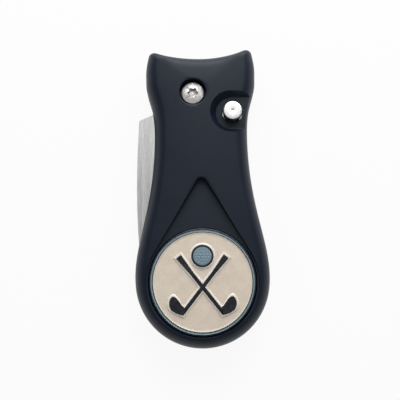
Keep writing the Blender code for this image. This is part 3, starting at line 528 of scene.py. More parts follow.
def new_group(name: str, inputs: dict[str, str], outputs: tuple[str, ...]) -> Tree:
    """A shader node group with vector or number inputs and number outputs.

    Args:
        name: The group's name.
        inputs: Each input's name, and "Vector" or "Float".
        outputs: The outputs' names.

    Returns:
        The group, with its input and output nodes.
    """
    tree = bpy.data.node_groups.new(name, "ShaderNodeTree")
    for socket, kind in inputs.items():
        tree.interface.new_socket(socket, in_out="INPUT", socket_type=f"NodeSocket{kind}")
    for socket in outputs:
        tree.interface.new_socket(socket, in_out="OUTPUT", socket_type="NodeSocketFloat")
    tree.nodes.new("NodeGroupInput").name = "entry"
    tree.nodes.new("NodeGroupOutput").name = "leave"
    return tree


# ---------------------------------------------------------------- finishes
class Pattern(Enum):
    """The surface patterns that a finish can have."""

    GRAIN = "fine moulded grain"
    BRUSHED = "brushed one way"
    TURNED = "turned on a lathe"
    SCRATCHED = "polished, finely scratched"
    MOTTLED = "mottled"


class PatternShop:
    """Builds each pattern once, as a shader node group with a tone and a height."""

    TONE_ENDS: Point = (0.3, 0.7)
    BLOTCH_ENDS: Point = (0.38, 0.62)
    SCRATCH_ENDS: Point = (0.55, 0.72)
    PIT_ENDS: Point = (0.62, 0.72)
    SCRATCH_TURNS: Point = (0.5, 2.1)

    def __init__(self) -> None:
        """Start with no groups made."""
        self._made: dict[Pattern, Tree] = {}
        self._draw = {Pattern.GRAIN: self._grain, Pattern.BRUSHED: self._brushed,
                      Pattern.TURNED: self._turned, Pattern.SCRATCHED: self._scratched,
                      Pattern.MOTTLED: self._mottled}

    def group(self, pattern: Pattern) -> Tree:
        """The node group of a pattern.

        Args:
            pattern: The pattern.

        Returns:
            Its group, with Vector, Scale and Stretch inputs and Tone and Height outputs.
        """
        if pattern not in self._made:
            tree = new_group(pattern.name.lower(),
                             {"Vector": "Vector", "Scale": "Float", "Stretch": "Vector"}, ("Tone", "Height"))
            entry, leave = tree.nodes["entry"], tree.nodes["leave"]
            tone, height = self._draw[pattern](tree, entry.outputs["Vector"], entry.outputs["Scale"],
                                               entry.outputs["Stretch"])
            tree.links.new(tone, leave.inputs["Tone"])
            tree.links.new(height, leave.inputs["Height"])
            self._made[pattern] = tree
        return self._made[pattern]

    def _layers(self, tree: Tree, first: Socket, second: Socket, share: float,
                ends: Point = TONE_ENDS) -> Socket:
        """A tone with a share of one layer, and the rest of another.

        Args:
            tree: The node tree.
            first: The first layer.
            second: The second layer.
            share: The first layer's share.
            ends: The tones that become 0 and 1.

        Returns:
            The tone, from 0 to 1.
        """
        tone = maths(tree, "ADD", maths(tree, "MULTIPLY", first, share),
                     maths(tree, "MULTIPLY", second, 1.0 - share))
        return spread(tree, tone, ends)

    def _grain(self, tree: Tree, vector: Socket, scale: Socket, _stretch: Socket) -> tuple[Socket, Socket]:
        """Fine grain over a slow drift of tone.

        Args:
            tree: The node tree.
            vector: Where the pattern is read.
            scale: The pattern's size, in features per metre.
            _stretch: Not used by this pattern.

        Returns:
            The tone and the height.
        """
        fine = noise(tree, vector, scale, 3.0, 0.55)
        drift = noise(tree, vector, maths(tree, "MULTIPLY", scale, 0.03))
        return self._layers(tree, fine, drift, 0.4), fine

    def _brushed(self, tree: Tree, vector: Socket, scale: Socket, stretch: Socket) -> tuple[Socket, Socket]:
        """Long thin streaks with a slower band across them.

        Args:
            tree: The node tree.
            vector: Where the pattern is read.
            scale: The pattern's size, in features per metre.
            stretch: How far the pattern is drawn out.

        Returns:
            The tone and the height.
        """
        long = vector_maths(tree, "MULTIPLY", vector, stretch).outputs["Vector"]
        streak = noise(tree, long, scale, 5.0, 0.65)
        band = noise(tree, long, maths(tree, "MULTIPLY", scale, 0.12))
        return self._layers(tree, streak, band, 0.65), streak

    def _turned(self, tree: Tree, vector: Socket, scale: Socket, stretch: Socket) -> tuple[Socket, Socket]:
        """Rings about the pattern's middle, with a slow drift round them.

        Args:
            tree: The node tree.
            vector: Where the pattern is read.
            scale: The pattern's size, in features per metre.
            stretch: How far the pattern is drawn out.

        Returns:
            The tone and the height.
        """
        flat = vector_maths(tree, "MULTIPLY", vector, stretch).outputs["Vector"]
        length = tree.nodes.new("ShaderNodeVectorMath")
        length.operation = "LENGTH"
        tree.links.new(flat, length.inputs[0])
        radius = tree.nodes.new("ShaderNodeCombineXYZ")
        tree.links.new(length.outputs["Value"], radius.inputs["X"])
        rings = noise(tree, radius.outputs["Vector"], scale, 3.0, 0.7)
        drift = noise(tree, vector, maths(tree, "MULTIPLY", scale, 0.1), 3.0, 0.6)
        return self._layers(tree, rings, drift, 0.6), rings

    def _scratched(self, tree: Tree, vector: Socket, scale: Socket, stretch: Socket) -> tuple[Socket, Socket]:
        """Fine scratches in two directions, and pits.

        Args:
            tree: The node tree.
            vector: Where the pattern is read.
            scale: The pattern's size, in features per metre.
            stretch: How far the pattern is drawn out.

        Returns:
            The tone and the height.
        """
        marks = spread(tree, noise(tree, vector, scale), self.PIT_ENDS)
        for turn in self.SCRATCH_TURNS:
            rotate = tree.nodes.new("ShaderNodeVectorRotate")
            rotate.rotation_type = "Z_AXIS"
            rotate.inputs["Angle"].default_value = turn
            tree.links.new(vector, rotate.inputs["Vector"])
            long = vector_maths(tree, "MULTIPLY", rotate.outputs["Vector"], stretch).outputs["Vector"]
            line = spread(tree, noise(tree, long, scale), self.SCRATCH_ENDS)
            marks = maths(tree, "MAXIMUM", marks, line)
        return marks, maths(tree, "SUBTRACT", 1.0, marks)

    def _mottled(self, tree: Tree, vector: Socket, scale: Socket, _stretch: Socket) -> tuple[Socket, Socket]:
        """Soft blotches at two sizes.

        Args:
            tree: The node tree.
            vector: Where the pattern is read.
            scale: The pattern's size, in features per metre.
            _stretch: Not used by this pattern.

        Returns:
            The tone and the height.
        """
        broad = noise(tree, vector, maths(tree, "MULTIPLY", scale, 0.3), 4.0, 0.6)
        fine = noise(tree, vector, scale, 5.0, 0.7)
        return self._layers(tree, broad, fine, 0.6, self.BLOTCH_ENDS), fine


PATTERNS = PatternShop()


def edge_wear_and_sheen_group() -> Tree:
    """The shared group that marks rounded edges in patches, for edge wear on the metals and a painted
    highlight along the matte body's edges.

    Returns:
        The group, with Vector and Width inputs and a Mask output.
    """
    name = "edge_wear"
    if name in bpy.data.node_groups:
        return bpy.data.node_groups[name]
    tree = new_group(name, {"Vector": "Vector", "Width": "Float"}, ("Mask",))
    entry = tree.nodes["entry"]
    round_edge = tree.nodes.new("ShaderNodeBevel")
    round_edge.samples = 6
    tree.links.new(entry.outputs["Width"], round_edge.inputs["Radius"])
    here = tree.nodes.new("ShaderNodeNewGeometry")
    match = vector_maths(tree, "DOT_PRODUCT", round_edge.outputs["Normal"], here.outputs["Normal"])
    bent = spread(tree, match.outputs["Value"], (0.99, 0.75))
    patchy = noise(tree, entry.outputs["Vector"], 900.0)
    tree.links.new(maths(tree, "MULTIPLY", bent, patchy), tree.nodes["leave"].inputs["Mask"])
    return tree


@dataclass(frozen=True)
class Finish:
    """A finish: colours, gloss and a surface pattern.

    Attributes:
        name: The material's name.
        colour: The main colour.
        shade: The colour that the pattern brings in.
        roughness: The roughness where the pattern's tone is 0, and where it is 1.
        pattern: The surface pattern.
        scale: The pattern's size, in features per metre.
        bump: The pattern's height, in metres.
        metallic: 1 for bare metal.
        stretch: The pattern's stretch along x, y and z.
        middle: Where the pattern is centred.
        specular: The gloss of a plastic or a paint.
        coat: The clear coat's weight.
        coat_roughness: The clear coat's roughness.
        wear: The colour that shows through along edges, or None.
        edge_wear: The lighter colour along edges, or None; on the metals it is wear that shows through, on
            the matte body it is a painted highlight.
        edge_wear_and_sheen_width: How far that lighter edge colour reaches from an edge.
    """

    name: str
    colour: Colour
    shade: Colour
    roughness: Point
    pattern: Pattern
    scale: float
    bump: float
    metallic: float = 0.0
    stretch: Colour = (1.0, 1.0, 1.0)
    middle: Vector = Vector((0.0, 0.0, 0.0))
    specular: float = 0.5
    coat: float = 0.0
    coat_roughness: float = 0.08
    wear: Colour | None = None
    edge_wear_and_sheen_width: float = 0.15 * MM

    def build(self) -> Material:
        """Make the material.

        Returns:
            The node material.
        """
        look = bpy.data.materials.new(self.name)
        look.use_nodes = True
        tree = look.node_tree
        shader = tree.nodes["Principled BSDF"]
        shader.inputs["Metallic"].default_value = self.metallic
        shader.inputs["Specular IOR Level"].default_value = self.specular
        shader.inputs["Coat Weight"].default_value = self.coat
        shader.inputs["Coat Roughness"].default_value = self.coat_roughness
        place = tree.nodes.new("ShaderNodeTexCoord")
        mapping = tree.nodes.new("ShaderNodeMapping")
        mapping.inputs["Location"].default_value = -self.middle
        tree.links.new(place.outputs["Object"], mapping.inputs["Vector"])
        pattern = tree.nodes.new("ShaderNodeGroup")
        pattern.node_tree = PATTERNS.group(self.pattern)
        pattern.inputs["Scale"].default_value = self.scale
        pattern.inputs["Stretch"].default_value = self.stretch
        tree.links.new(mapping.outputs["Vector"], pattern.inputs["Vector"])
        tone = pattern.outputs["Tone"]

        colour = mix_colours(tree, tone, self.colour, self.shade)
        # Lighter colour along rounded edges: wear on the metals, a painted highlight on the matte body.
        if self.wear is not None:
            edge = tree.nodes.new("ShaderNodeGroup")
            edge.node_tree = edge_wear_and_sheen_group()
            edge.inputs["Width"].default_value = self.edge_wear_and_sheen_width
            tree.links.new(mapping.outputs["Vector"], edge.inputs["Vector"])
            colour = mix_colours(tree, edge.outputs["Mask"], colour, self.wear)
        tree.links.new(colour, shader.inputs["Base Color"])

        gloss = tree.nodes.new("ShaderNodeMapRange")
        gloss.inputs["To Min"].default_value = self.roughness[0]
        gloss.inputs["To Max"].default_value = self.roughness[1]
        tree.links.new(tone, gloss.inputs["Value"])
        tree.links.new(gloss.outputs["Result"], shader.inputs["Roughness"])

        relief = tree.nodes.new("ShaderNodeBump")
        relief.inputs["Distance"].default_value = self.bump
        tree.links.new(pattern.outputs["Height"], relief.inputs["Height"])
        tree.links.new(relief.outputs["Normal"], shader.inputs["Normal"])
        return look


def make_finishes() -> dict[str, Material]:
    """Make every finish of the tool.

    Returns:
        The materials, by name.
    """
    round_about = (1.0, 1.0, 0.0)
    finishes = (
        # The body's lighter edge colour is a painted highlight along its rounded edges, not wear.
        Finish("matte_blue_black", (0.0035, 0.0085, 0.019), (0.0048, 0.0108, 0.023), (0.38, 0.46),
               Pattern.GRAIN, 5000.0, 0.004 * MM, specular=0.26, wear=(0.010, 0.015, 0.027)),
        Finish("brushed_blade", (0.74, 0.74, 0.73), (0.38, 0.38, 0.38), (0.20, 0.32),
               Pattern.BRUSHED, 9000.0, 0.002 * MM, metallic=1.0, stretch=(1.0, 0.03, 1.0)),
        Finish("bright_button", (0.84, 0.84, 0.83), (0.62, 0.62, 0.62), (0.22, 0.38),
               Pattern.SCRATCHED, 6000.0, 0.002 * MM, metallic=1.0, stretch=(1.0, 0.08, 1.0),
               middle=middle_of("lock_button")),
        Finish("worn_screw", (0.80, 0.78, 0.76), (0.34, 0.33, 0.32), (0.40, 0.60),
               Pattern.MOTTLED, 2500.0, 0.004 * MM, metallic=1.0, middle=middle_of("pivot_screw"),
               wear=(0.85, 0.85, 0.84)),
        Finish("turned_steel", (0.66, 0.66, 0.65), (0.45, 0.45, 0.45), (0.25, 0.38),
               Pattern.TURNED, 7000.0, 0.002 * MM, metallic=1.0, stretch=round_about,
               middle=middle_of("pivot_post")),
        Finish("black_nickel", (0.060, 0.066, 0.074), (0.022, 0.024, 0.028), (0.22, 0.36),
               Pattern.MOTTLED, 4000.0, 0.002 * MM, metallic=1.0, wear=(0.20, 0.22, 0.23),
               edge_wear_and_sheen_width=0.08 * MM),
        Finish("cream_enamel", (0.78, 0.68, 0.565), (0.69, 0.595, 0.49), (0.32, 0.42),
               Pattern.MOTTLED, 1500.0, 0.006 * MM, coat=0.25),
        # A lighter copy of the cream enamel: a painted highlight for the raised ground round the design.
        Finish("cream_enamel_painted_highlight", (0.86, 0.80, 0.72), (0.80, 0.73, 0.65), (0.25, 0.35),
               Pattern.MOTTLED, 1500.0, 0.006 * MM, coat=0.35),
        Finish("blue_enamel", (0.19, 0.29, 0.35), (0.15, 0.24, 0.29), (0.25, 0.35),
               Pattern.MOTTLED, 2500.0, 0.003 * MM, coat=0.3),
        Finish("spring_wire", (0.42, 0.42, 0.43), (0.28, 0.28, 0.29), (0.3, 0.45),
               Pattern.MOTTLED, 5000.0, 0.003 * MM, metallic=1.0),
        Finish("turned_brass", (0.58, 0.38, 0.13), (0.42, 0.26, 0.08), (0.28, 0.4),
               Pattern.TURNED, 6000.0, 0.002 * MM, metallic=1.0, stretch=round_about),
        Finish("white_nylon", (0.72, 0.72, 0.69), (0.66, 0.66, 0.63), (0.45, 0.55),
               Pattern.GRAIN, 5000.0, 0.003 * MM),
        Finish("plated_magnet", (0.62, 0.61, 0.58), (0.50, 0.49, 0.47), (0.2, 0.32),
               Pattern.SCRATCHED, 3000.0, 0.002 * MM, metallic=1.0, stretch=(1.0, 0.1, 1.0)),
    )
    return {finish.name: finish.build() for finish in finishes}


# ---------------------------------------------------------------- the handle
@dataclass
class HandleOutline:
    """The handle's outline: a round belly, a waist and two ears, the right one a little taller.

    A flank's pulls are how far its curve's two handles reach, as shares of its rise.
    """

    belly_radius: float = 15.8 * MM
    belly_rise: float = 0.55 * MM
    belly_end: float = math.radians(-6.0)
    belly_steps: int = 60
    waist: Vector = Vector((11.15 * MM, 35.4 * MM, 0.0))
    waist_pulls: Point = (0.28, 0.515)
    waist_steps: int = 48
    ear: Vector = Vector((13.18 * MM, 48.4 * MM, 0.0))
    ear_pulls: Point = (0.61, 0.29)
    ear_steps: int = 30
    tip_half_width: float = 11.4 * MM
    tip_radius: float = 1.2 * MM
    tip_lean: float = math.radians(13.5)
    tip_pulls: Point = (0.3, 0.55)
    tip_steps: int = 16
    tip_arc_steps: int = 12
    top_dip: float = 54.42 * MM
    top_steps: int = 24
    right_top: float = 56.5 * MM
    left_top: float = 56.0 * MM
    spine_top: float = 46.0 * MM
    least_slant: float = 0.6
    even_reach: int = 9

    @staticmethod
    def _flank(start: Vector, start_way: Vector, end: Vector, end_way: Vector, pulls: Point,
               steps: int) -> list[Vector]:
        """A curve up a flank, without its first point.

        Args:
            start: Where it starts.
            start_way: Its way there.
            end: Where it ends.
            end_way: Its way there.
            pulls: How far its two handles reach, as shares of its rise.
            steps: The number of spans.

        Returns:
            The curve's points.
        """
        rise = end.y - start.y
        return span(start, start + start_way * rise * pulls[0], end - end_way * rise * pulls[1], end, steps)

    def _half(self, ear_top: float) -> list[Vector]:
        """The right half, from the belly's lowest point to the middle of the top edge.

        Args:
            ear_top: The height of this side's ear.

        Returns:
            The half's points.
        """
        points = arc(UP_THE_TOOL * self.belly_rise, self.belly_radius, -math.pi / 2, self.belly_end,
                     self.belly_steps)
        leaving = Vector((-math.sin(self.belly_end), math.cos(self.belly_end), 0.0))
        points += self._flank(points[-1], leaving, self.waist, UP_THE_TOOL, self.waist_pulls,
                              self.waist_steps)
        points += self._flank(self.waist, UP_THE_TOOL, self.ear, UP_THE_TOOL, self.ear_pulls, self.ear_steps)
        tip = Vector((self.tip_half_width, ear_top - self.tip_radius, 0.0))
        leaning = Vector((-math.sin(self.tip_lean), math.cos(self.tip_lean), 0.0))
        points += self._flank(self.ear, UP_THE_TOOL, polar(self.tip_radius, self.tip_lean, tip), leaning,
                              self.tip_pulls, self.tip_steps)
        slope = 2 * (ear_top - self.top_dip) / self.tip_half_width
        points += arc(tip, self.tip_radius, self.tip_lean, math.pi / 2 + math.atan(slope),
                      self.tip_arc_steps)[1:]
        ear_end = points[-1]
        for step in range(1, self.top_steps + 1):
            share = 1.0 - step / self.top_steps
            points.append(Vector((ear_end.x * share,
                                  self.top_dip + (ear_end.y - self.top_dip) * share**2, 0.0)))
        return points

    def points(self) -> list[Vector]:
        """The whole outline, counter-clockwise from the belly's lowest point.

        Returns:
            The points.
        """
        right = self._half(self.right_top)
        left = self._half(self.left_top)
        return right + [Vector((-point.x, point.y, 0.0)) for point in reversed(left[1:-1])]

    def ways(self) -> list[tuple[Vector, Vector, float]]:
        """Each point, its way to the handle's spine, and how squarely that way leaves the edge.

        Returns:
            (point, way, slant) for each point, with the slant evened out along the outline.
        """
        outline = self.points()
        ways = [Vector((0.0, min(max(point.y, 0.0), self.spine_top), 0.0)) - point for point in outline]
        slants = [max(-way.normalized().dot(outward), self.least_slant)
                  for way, outward in zip(ways, outward_ways(outline))]
        reach = range(-self.even_reach, self.even_reach + 1)
        evened = [sum(slants[(index + shift) % len(slants)] for shift in reach) / len(reach)
                  for index in range(len(slants))]
        return list(zip(outline, ways, evened))

    def ring(self, inset: float, height: float) -> list[Vector]:
        """The outline drawn in by an inset, at a height."""
        return [point + way.normalized() * (inset / slant) + at_height(height)
                for point, way, slant in self.ways()]


@dataclass
class ForkRoom:
    """The cavity that the fork folds into, open at the left and at the top, and the lock collar's room.

    Its right wall and its end are placed from the pivot, and the open fork's shoulder stops at its slant.
    """

    floor: float = 4.6 * MM
    ceiling: float = 7.2 * MM
    side: float = 4.27 * MM
    length: float = 48.5 * MM
    corner: float = 2.0 * MM
    left: float = 40.0 * MM
    hub_radius: float = 9.6 * MM
    hub_steps: int = 60
    stop_radius: float = 14.84 * MM
    stop_angle: float = math.radians(28.5)
    stop_room: float = 0.9 * MM
    stop_slant: float = math.radians(5.0)
    collar_radius: float = 3.05 * MM
    collar_floor: float = 2.3 * MM

    def cutters(self, pivot: Vector, button: Vector, top: float) -> list[Piece]:
        """Make the cutters that both shells share.

        Args:
            pivot: The pivot's place.
            button: The button's place.
            top: How far up the tool the cavity runs out.

        Returns:
            The cavity's cutter and the collar's.
        """
        right, end = pivot.x + self.side, pivot.y - self.length
        stop = self.stop_angle - self.stop_room / self.stop_radius
        foot = polar(self.stop_radius, stop, pivot)
        points = [Vector((-self.left, end, 0.0)), Vector((right - self.corner, end, 0.0)),
                  Vector((right, end + self.corner, 0.0))]
        points += arc(pivot, self.hub_radius, -math.acos((right - pivot.x) / self.hub_radius), stop,
                      self.hub_steps)
        points += [foot, Vector((foot.x - (top - foot.y) * math.tan(self.stop_slant), top, 0.0)),
                   Vector((-self.left, top, 0.0))]
        return [prism("cut_fork_room", points, [(0.0, self.floor), (0.0, self.ceiling)]),
                bar("cut_collar_room", button, self.collar_radius, self.collar_floor, self.ceiling)]


@dataclass
class Shell:
    """What the two shells of the handle share."""

    thickness: float = 12.5 * MM
    seam_chamfer: float = 0.12 * MM
    post_hole: float = 2.1 * MM
    past: float = 2.0 * MM

    def __post_init__(self) -> None:
        """Take the outline, the fork's room and the places of what the handle holds."""
        self.outline = HandleOutline()
        self.room = ForkRoom()
        self.pivot = middle_of("pivot_screw")
        self.button = middle_of("lock_button")

    def _room_cutters(self) -> list[Piece]:
        """The cutters of the fork's cavity and the collar's room."""
        return self.room.cutters(self.pivot, self.button, self.outline.right_top + self.past)


@dataclass
class FrontShell(Shell):
    """The front shell: rolled edge, crowned face, marker pocket, scoop, screw pocket and side recess.

    A seat or a pocket is its (radius, height of its blind end).
    """

    face_drop: float = 0.08 * MM
    roll_width: float = 3.0 * MM
    roll_height: float = 4.0 * MM
    roll_steps: int = 14
    crown: float = 0.7 * MM
    crown_end: float = 0.94
    crown_ease: int = 26
    crown_steps: int = 12
    seam: float = 6.0 * MM
    lip: float = 0.16 * MM
    lip_turn: float = math.radians(80.0)
    lip_steps: int = 5
    lip_slope: float = 4.0
    pocket_fillet: float = 0.15 * MM
    marker_pocket: Point = (12.7 * MM, 9.9 * MM)
    marker_flare: Point = (0.45 * MM, 0.82 * MM)
    screw_pocket: Point = (3.2 * MM, 9.5 * MM)
    magnet_seat: Point = (5.1 * MM, 8.25 * MM)
    washer_seat: Point = (3.9 * MM, 7.4 * MM)
    post_end: float = 8.7 * MM
    screw_hole: float = 1.22 * MM
    button_hole: float = 2.44 * MM
    insert_hole: float = 1.6 * MM
    insert_room: float = 0.1 * MM
    scoop_top: float = 24.4 * MM
    scoop_tip_radius: float = 1.3 * MM
    scoop_depth: float = 2.0 * MM
    scoop_relief: float = 0.5 * MM
    scoop_lean: float = math.radians(2.5)
    scoop_steps: tuple[int, int] = (24, 120)
    scoop_foot: tuple[Point, ...] = ((-0.3 * MM, 0.0), (-0.1 * MM, 0.06 * MM), (0.0, 0.25 * MM))
    scoop_reach: float = 0.05 * MM
    recess_floor: float = 10.2 * MM
    recess_floor_radius: float = 4.05 * MM
    recess_rim_radius: float = 5.15 * MM
    recess_lean: float = 0.2 * MM
    recess_foot: tuple[Point, ...] = ((-0.3 * MM, 0.0), (-0.09 * MM, 0.05 * MM), (0.0, 0.25 * MM))

    def __post_init__(self) -> None:
        """Take the face's height and the marker's place too."""
        super().__post_init__()
        self.face = self.thickness - self.face_drop
        self.top = self.thickness + self.past
        self.coin = middle_of("marker_coin")

    def _face_ring(self, inset: float, crown_share: float) -> list[Vector]:
        """A ring on the front face.

        Args:
            inset: How far it lies in from the edge, up to the roll's width.
            crown_share: How far past the roll it lies, from 0 at the roll to 1 beside the spine.

        Returns:
            The ring's points.
        """
        fall = self.roll_height * (1.0 - math.sqrt(1.0 - (1.0 - inset / self.roll_width) ** 2))
        ring = []
        for point, way, slant in self.outline.ways():
            share = inset / (way.length * slant)
            share += (self.crown_end - share) * crown_share
            height = self.thickness - self.crown * (1.0 - share) ** 2 - fall
            ring.append(point + way * share + at_height(height))
        return ring

    @staticmethod
    def _eased(ring: list[Vector], reach: int) -> list[Vector]:
        """A ring with its corners rounded, so that the crown has no folds running in from the ears.

        Args:
            ring: The ring's points.
            reach: How many neighbours on each side each point is evened out with.

        Returns:
            The eased ring.
        """
        eased = []
        for index in range(len(ring)):
            near = [ring[(index + shift) % len(ring)] for shift in range(-reach, reach + 1)]
            eased.append(sum(near, Vector()) / len(near))
        return eased

    def _rings(self) -> list[list[Vector]]:
        """The shell's rings, up from the seam, over the roll and in over the crown.

        Returns:
            The rings, lowest first.
        """
        rings = [self.outline.ring(self.seam_chamfer, self.seam),
                 self.outline.ring(0.0, self.seam + self.seam_chamfer)]
        for step in range(self.roll_steps + 1):
            turn = math.pi / 2 * step / self.roll_steps
            rings.append(self._face_ring(self.roll_width * (1.0 - math.cos(turn)), 0.0))
        for step in range(1, self.crown_steps + 1):
            share = step / self.crown_steps
            rings.append(self._eased(self._face_ring(self.roll_width, share), round(self.crown_ease * share)))
        return rings

    def _lip(self) -> list[Point]:
        """(growth, height) levels over a pocket's rounded lip and out past the face.

        Returns:
            The levels, lowest first.
        """
        levels = []
        for step in range(self.lip_steps + 1):
            turn = self.lip_turn * step / self.lip_steps
            levels.append((self.lip * (1.0 - math.cos(turn)), self.face - self.lip * (1.0 - math.sin(turn))))
        growth, height = levels[-1]
        return levels + [(growth + self.lip_slope * (self.top - height), self.top)]

    def _pocket(self, size: Point, flare: Point = (0.0, 0.0)) -> list[Point]:
        """A round pocket's cutter profile with a filleted floor and a rounded lip.

        Args:
            size: The pocket's radius and its floor's height.
            flare: How much wider it is at the face, and how far down from the face it widens.

        Returns:
            (radius, height) points.
        """
        radius, floor = size
        profile = [(0.0, floor)] + corner(radius, floor, self.pocket_fillet, way=1.0)
        if flare[0]:
            profile.append((radius, self.face - flare[1]))
        profile += [(radius + flare[0] + growth, height) for growth, height in self._lip()]
        return profile + [(0.0, self.top)]

    def _scoop(self) -> Piece:
        """The cutter for the tapered fingertip scoop, its floor falling towards the marker.

        Returns:
            The cutter.
        """
        radius = self.marker_pocket[0] + self.scoop_relief
        tip = Vector((0.0, self.scoop_top - self.scoop_tip_radius, 0.0))
        half = math.asin((radius - self.scoop_tip_radius) / tip.y)
        outline = arc(tip, self.scoop_tip_radius, half, math.pi - half, self.scoop_steps[0])
        outline += arc(self.coin, radius, math.pi - half, math.tau + half, self.scoop_steps[1])
        floor = self.face - self.scoop_depth
        floor_end = floor + self.scoop_foot[-1][1] + self.scoop_reach
        levels = [(growth, floor + rise) for growth, rise in self.scoop_foot]
        cutter = prism("cut_scoop", outline, levels + self._lip())
        for vertex in cutter.data.vertices:
            if vertex.co.z < floor_end:
                vertex.co.z += math.tan(self.scoop_lean) * (self.scoop_top - vertex.co.y)
        return cutter

    def _recess(self) -> Piece:
        """The cutter for the button's recess: half round, leaning out to the left, open at the side.

        Returns:
            The cutter.
        """
        deep = self.face - self.recess_floor
        slope = (self.recess_rim_radius - self.recess_floor_radius) / deep
        levels = [*self.recess_foot, (slope * deep, deep), (slope * (deep + self.past), deep + self.past)]
        right_end = self.outline.ear.x + self.past
        rings = []
        for growth, height in levels:
            radius = self.recess_floor_radius + growth
            middle = self.button - Vector((self.recess_lean * height / deep, 0.0, 0.0))
            ring = arc(middle, radius, math.pi / 2, math.pi * 3 / 2, FINE_STEPS // 2)
            ring += [Vector((right_end, middle.y - radius, 0.0)), Vector((right_end, middle.y + radius, 0.0))]
            rings.append([point + at_height(self.recess_floor + height) for point in ring])
        return lofted("cut_button_recess", rings)

    def build(self, look: Material) -> Piece:
        """Build the shell.

        Args:
            look: Its finish.

        Returns:
            The dressed shell.
        """
        shell = lofted("front_shell_fine", self._rings())
        pivot, coin, low = self.pivot, self.coin, self.room.floor
        tools = self._room_cutters()
        tools += [
            turned("cut_marker_pocket", self._pocket(self.marker_pocket, self.marker_flare), coin,
                   FINE_STEPS),
            self._scoop(),
            bar("cut_magnet_seat", coin, *self.magnet_seat, self.top),
            turned("cut_screw_pocket", self._pocket(self.screw_pocket), pivot),
            bar("cut_screw_hole", pivot, self.screw_hole, low, self.top, SMALL_STEPS),
            bar("cut_front_post_hole", pivot, self.post_hole, low, self.post_end),
            bar("cut_front_washer_seat", pivot, self.washer_seat[0], low, self.washer_seat[1]),
            self._recess(),
            bar("cut_button_hole", self.button, self.button_hole, low, self.top),
        ]
        for number in ShellScrews.numbers:
            insert = f"screw_insert_{number}"
            tools.append(bar(f"cut_insert_{number}", middle_of(insert), self.insert_hole, low,
                             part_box(f"screw_insert_{number}")[1].z + self.insert_room, SMALL_STEPS))
        work(shell, tools)
        return dress(shell, look, "handle", "handle", "front_shell")


@dataclass
class BackShell(Shell):
    """The back shell: rolled edge, spring well, seats and holes.

    A seat or a bore is its (radius, height of its blind end).
    """

    roll: float = 3.5 * MM
    roll_steps: int = 12
    seam: float = 5.8 * MM
    well_radii: Point = (3.4 * MM, 5.2 * MM)
    well_floor: float = 2.0 * MM
    leg_slot_half: float = 0.45 * MM
    leg_slot_ends: Point = (4.3 * MM, 7.6 * MM)
    flange_seat: Point = (3.9 * MM, 1.3 * MM)
    washer_seat: Point = (3.3 * MM, 4.4 * MM)
    spring_bore: Point = (1.95 * MM, 1.2 * MM)
    screw_seat: Point = (1.85 * MM, 1.7 * MM)
    screw_hole: float = 0.9 * MM
    mouth_chamfer: float = 0.15 * MM

    def _rings(self) -> list[list[Vector]]:
        """The shell's rings, up from the back face to the seam.

        Returns:
            The rings, lowest first.
        """
        rings = []
        for step in range(self.roll_steps, -1, -1):
            turn = math.pi / 2 * step / self.roll_steps
            rings.append(self.outline.ring(self.roll * (1.0 - math.cos(turn)),
                                           self.roll * (1.0 - math.sin(turn))))
        return rings + [self.outline.ring(0.0, self.seam - self.seam_chamfer),
                        self.outline.ring(self.seam_chamfer, self.seam)]

    def _mouth(self, size: Point) -> list[Point]:
        """A round pocket in the back face, with a chamfered mouth.

        Args:
            size: The pocket's radius and its depth.

        Returns:
            (radius, height) points.
        """
        radius, depth = size
        edge = self.mouth_chamfer
        return [(0.0, -self.past), (radius + edge + self.past, -self.past), (radius, edge), (radius, depth),
                (0.0, depth)]

    def build(self, look: Material) -> Piece:
        """Build the shell.

        Args:
            look: Its finish.

        Returns:
            The dressed shell.
        """
        shell = lofted("back_shell_fine", self._rings())
        pivot, high = self.pivot, self.room.ceiling
        inner, outer = self.well_radii
        well = [(inner, self.well_floor), (inner, high), (outer, high), (outer, self.well_floor)]
        near, far = self.leg_slot_ends
        tools = self._room_cutters()
        tools += [
            turned("cut_spring_well", well, pivot, closed=True),
            block("cut_spring_leg_slot", pivot + Vector((-self.leg_slot_half, -far, self.well_floor)),
                  pivot + Vector((self.leg_slot_half, -near, high))),
            turned("cut_flange_seat", self._mouth(self.flange_seat), pivot),
            bar("cut_back_post_hole", pivot, self.post_hole, -self.past, high),
            bar("cut_back_washer_seat", pivot, *self.washer_seat, high),
            bar("cut_button_spring_bore", self.button, *self.spring_bore, high),
        ]
        for number in ShellScrews.numbers:
            spot = middle_of(f"shell_screw_{number}")
            tools += [turned(f"cut_screw_seat_{number}", self._mouth(self.screw_seat), spot, SMALL_STEPS),
                      bar(f"cut_screw_hole_{number}", spot, self.screw_hole, -self.past, high, SMALL_STEPS)]
        work(shell, tools)
        return dress(shell, look, "handle", "handle", "back_shell")


@dataclass
class ShellScrews:
    """The screws that close the shells, and their inserts."""

    numbers = (1, 2, 3)
    edge: float = 0.07 * MM

    def build(self, steel: Material, brass: Material) -> None:
        """Build the screws with their edges eased, and finish the inserts.

        Args:
            steel: The finish of turned steel.
            brass: The finish of the inserts.
        """
        for number in self.numbers:
            node = f"shell_screw_{number}"
            dress(eased_copy(f"shell_screw_fine_{number}", node, self.edge), steel, "handle", "bright_metal",
                  node)
            redress(f"screw_insert_{number}", brass)


# ---------------------------------------------------------------- the fork and its pivot
@dataclass
class Fork:
    """The two-pronged blade."""

    edge: float = 0.22 * MM

    def build(self, look: Material) -> Piece:
        """Build the blade with its edges eased."""
        return dress(eased_copy("fork_blade_fine", "fork_blade", self.edge), look, "fork", "blade",
                     "fork_blade")


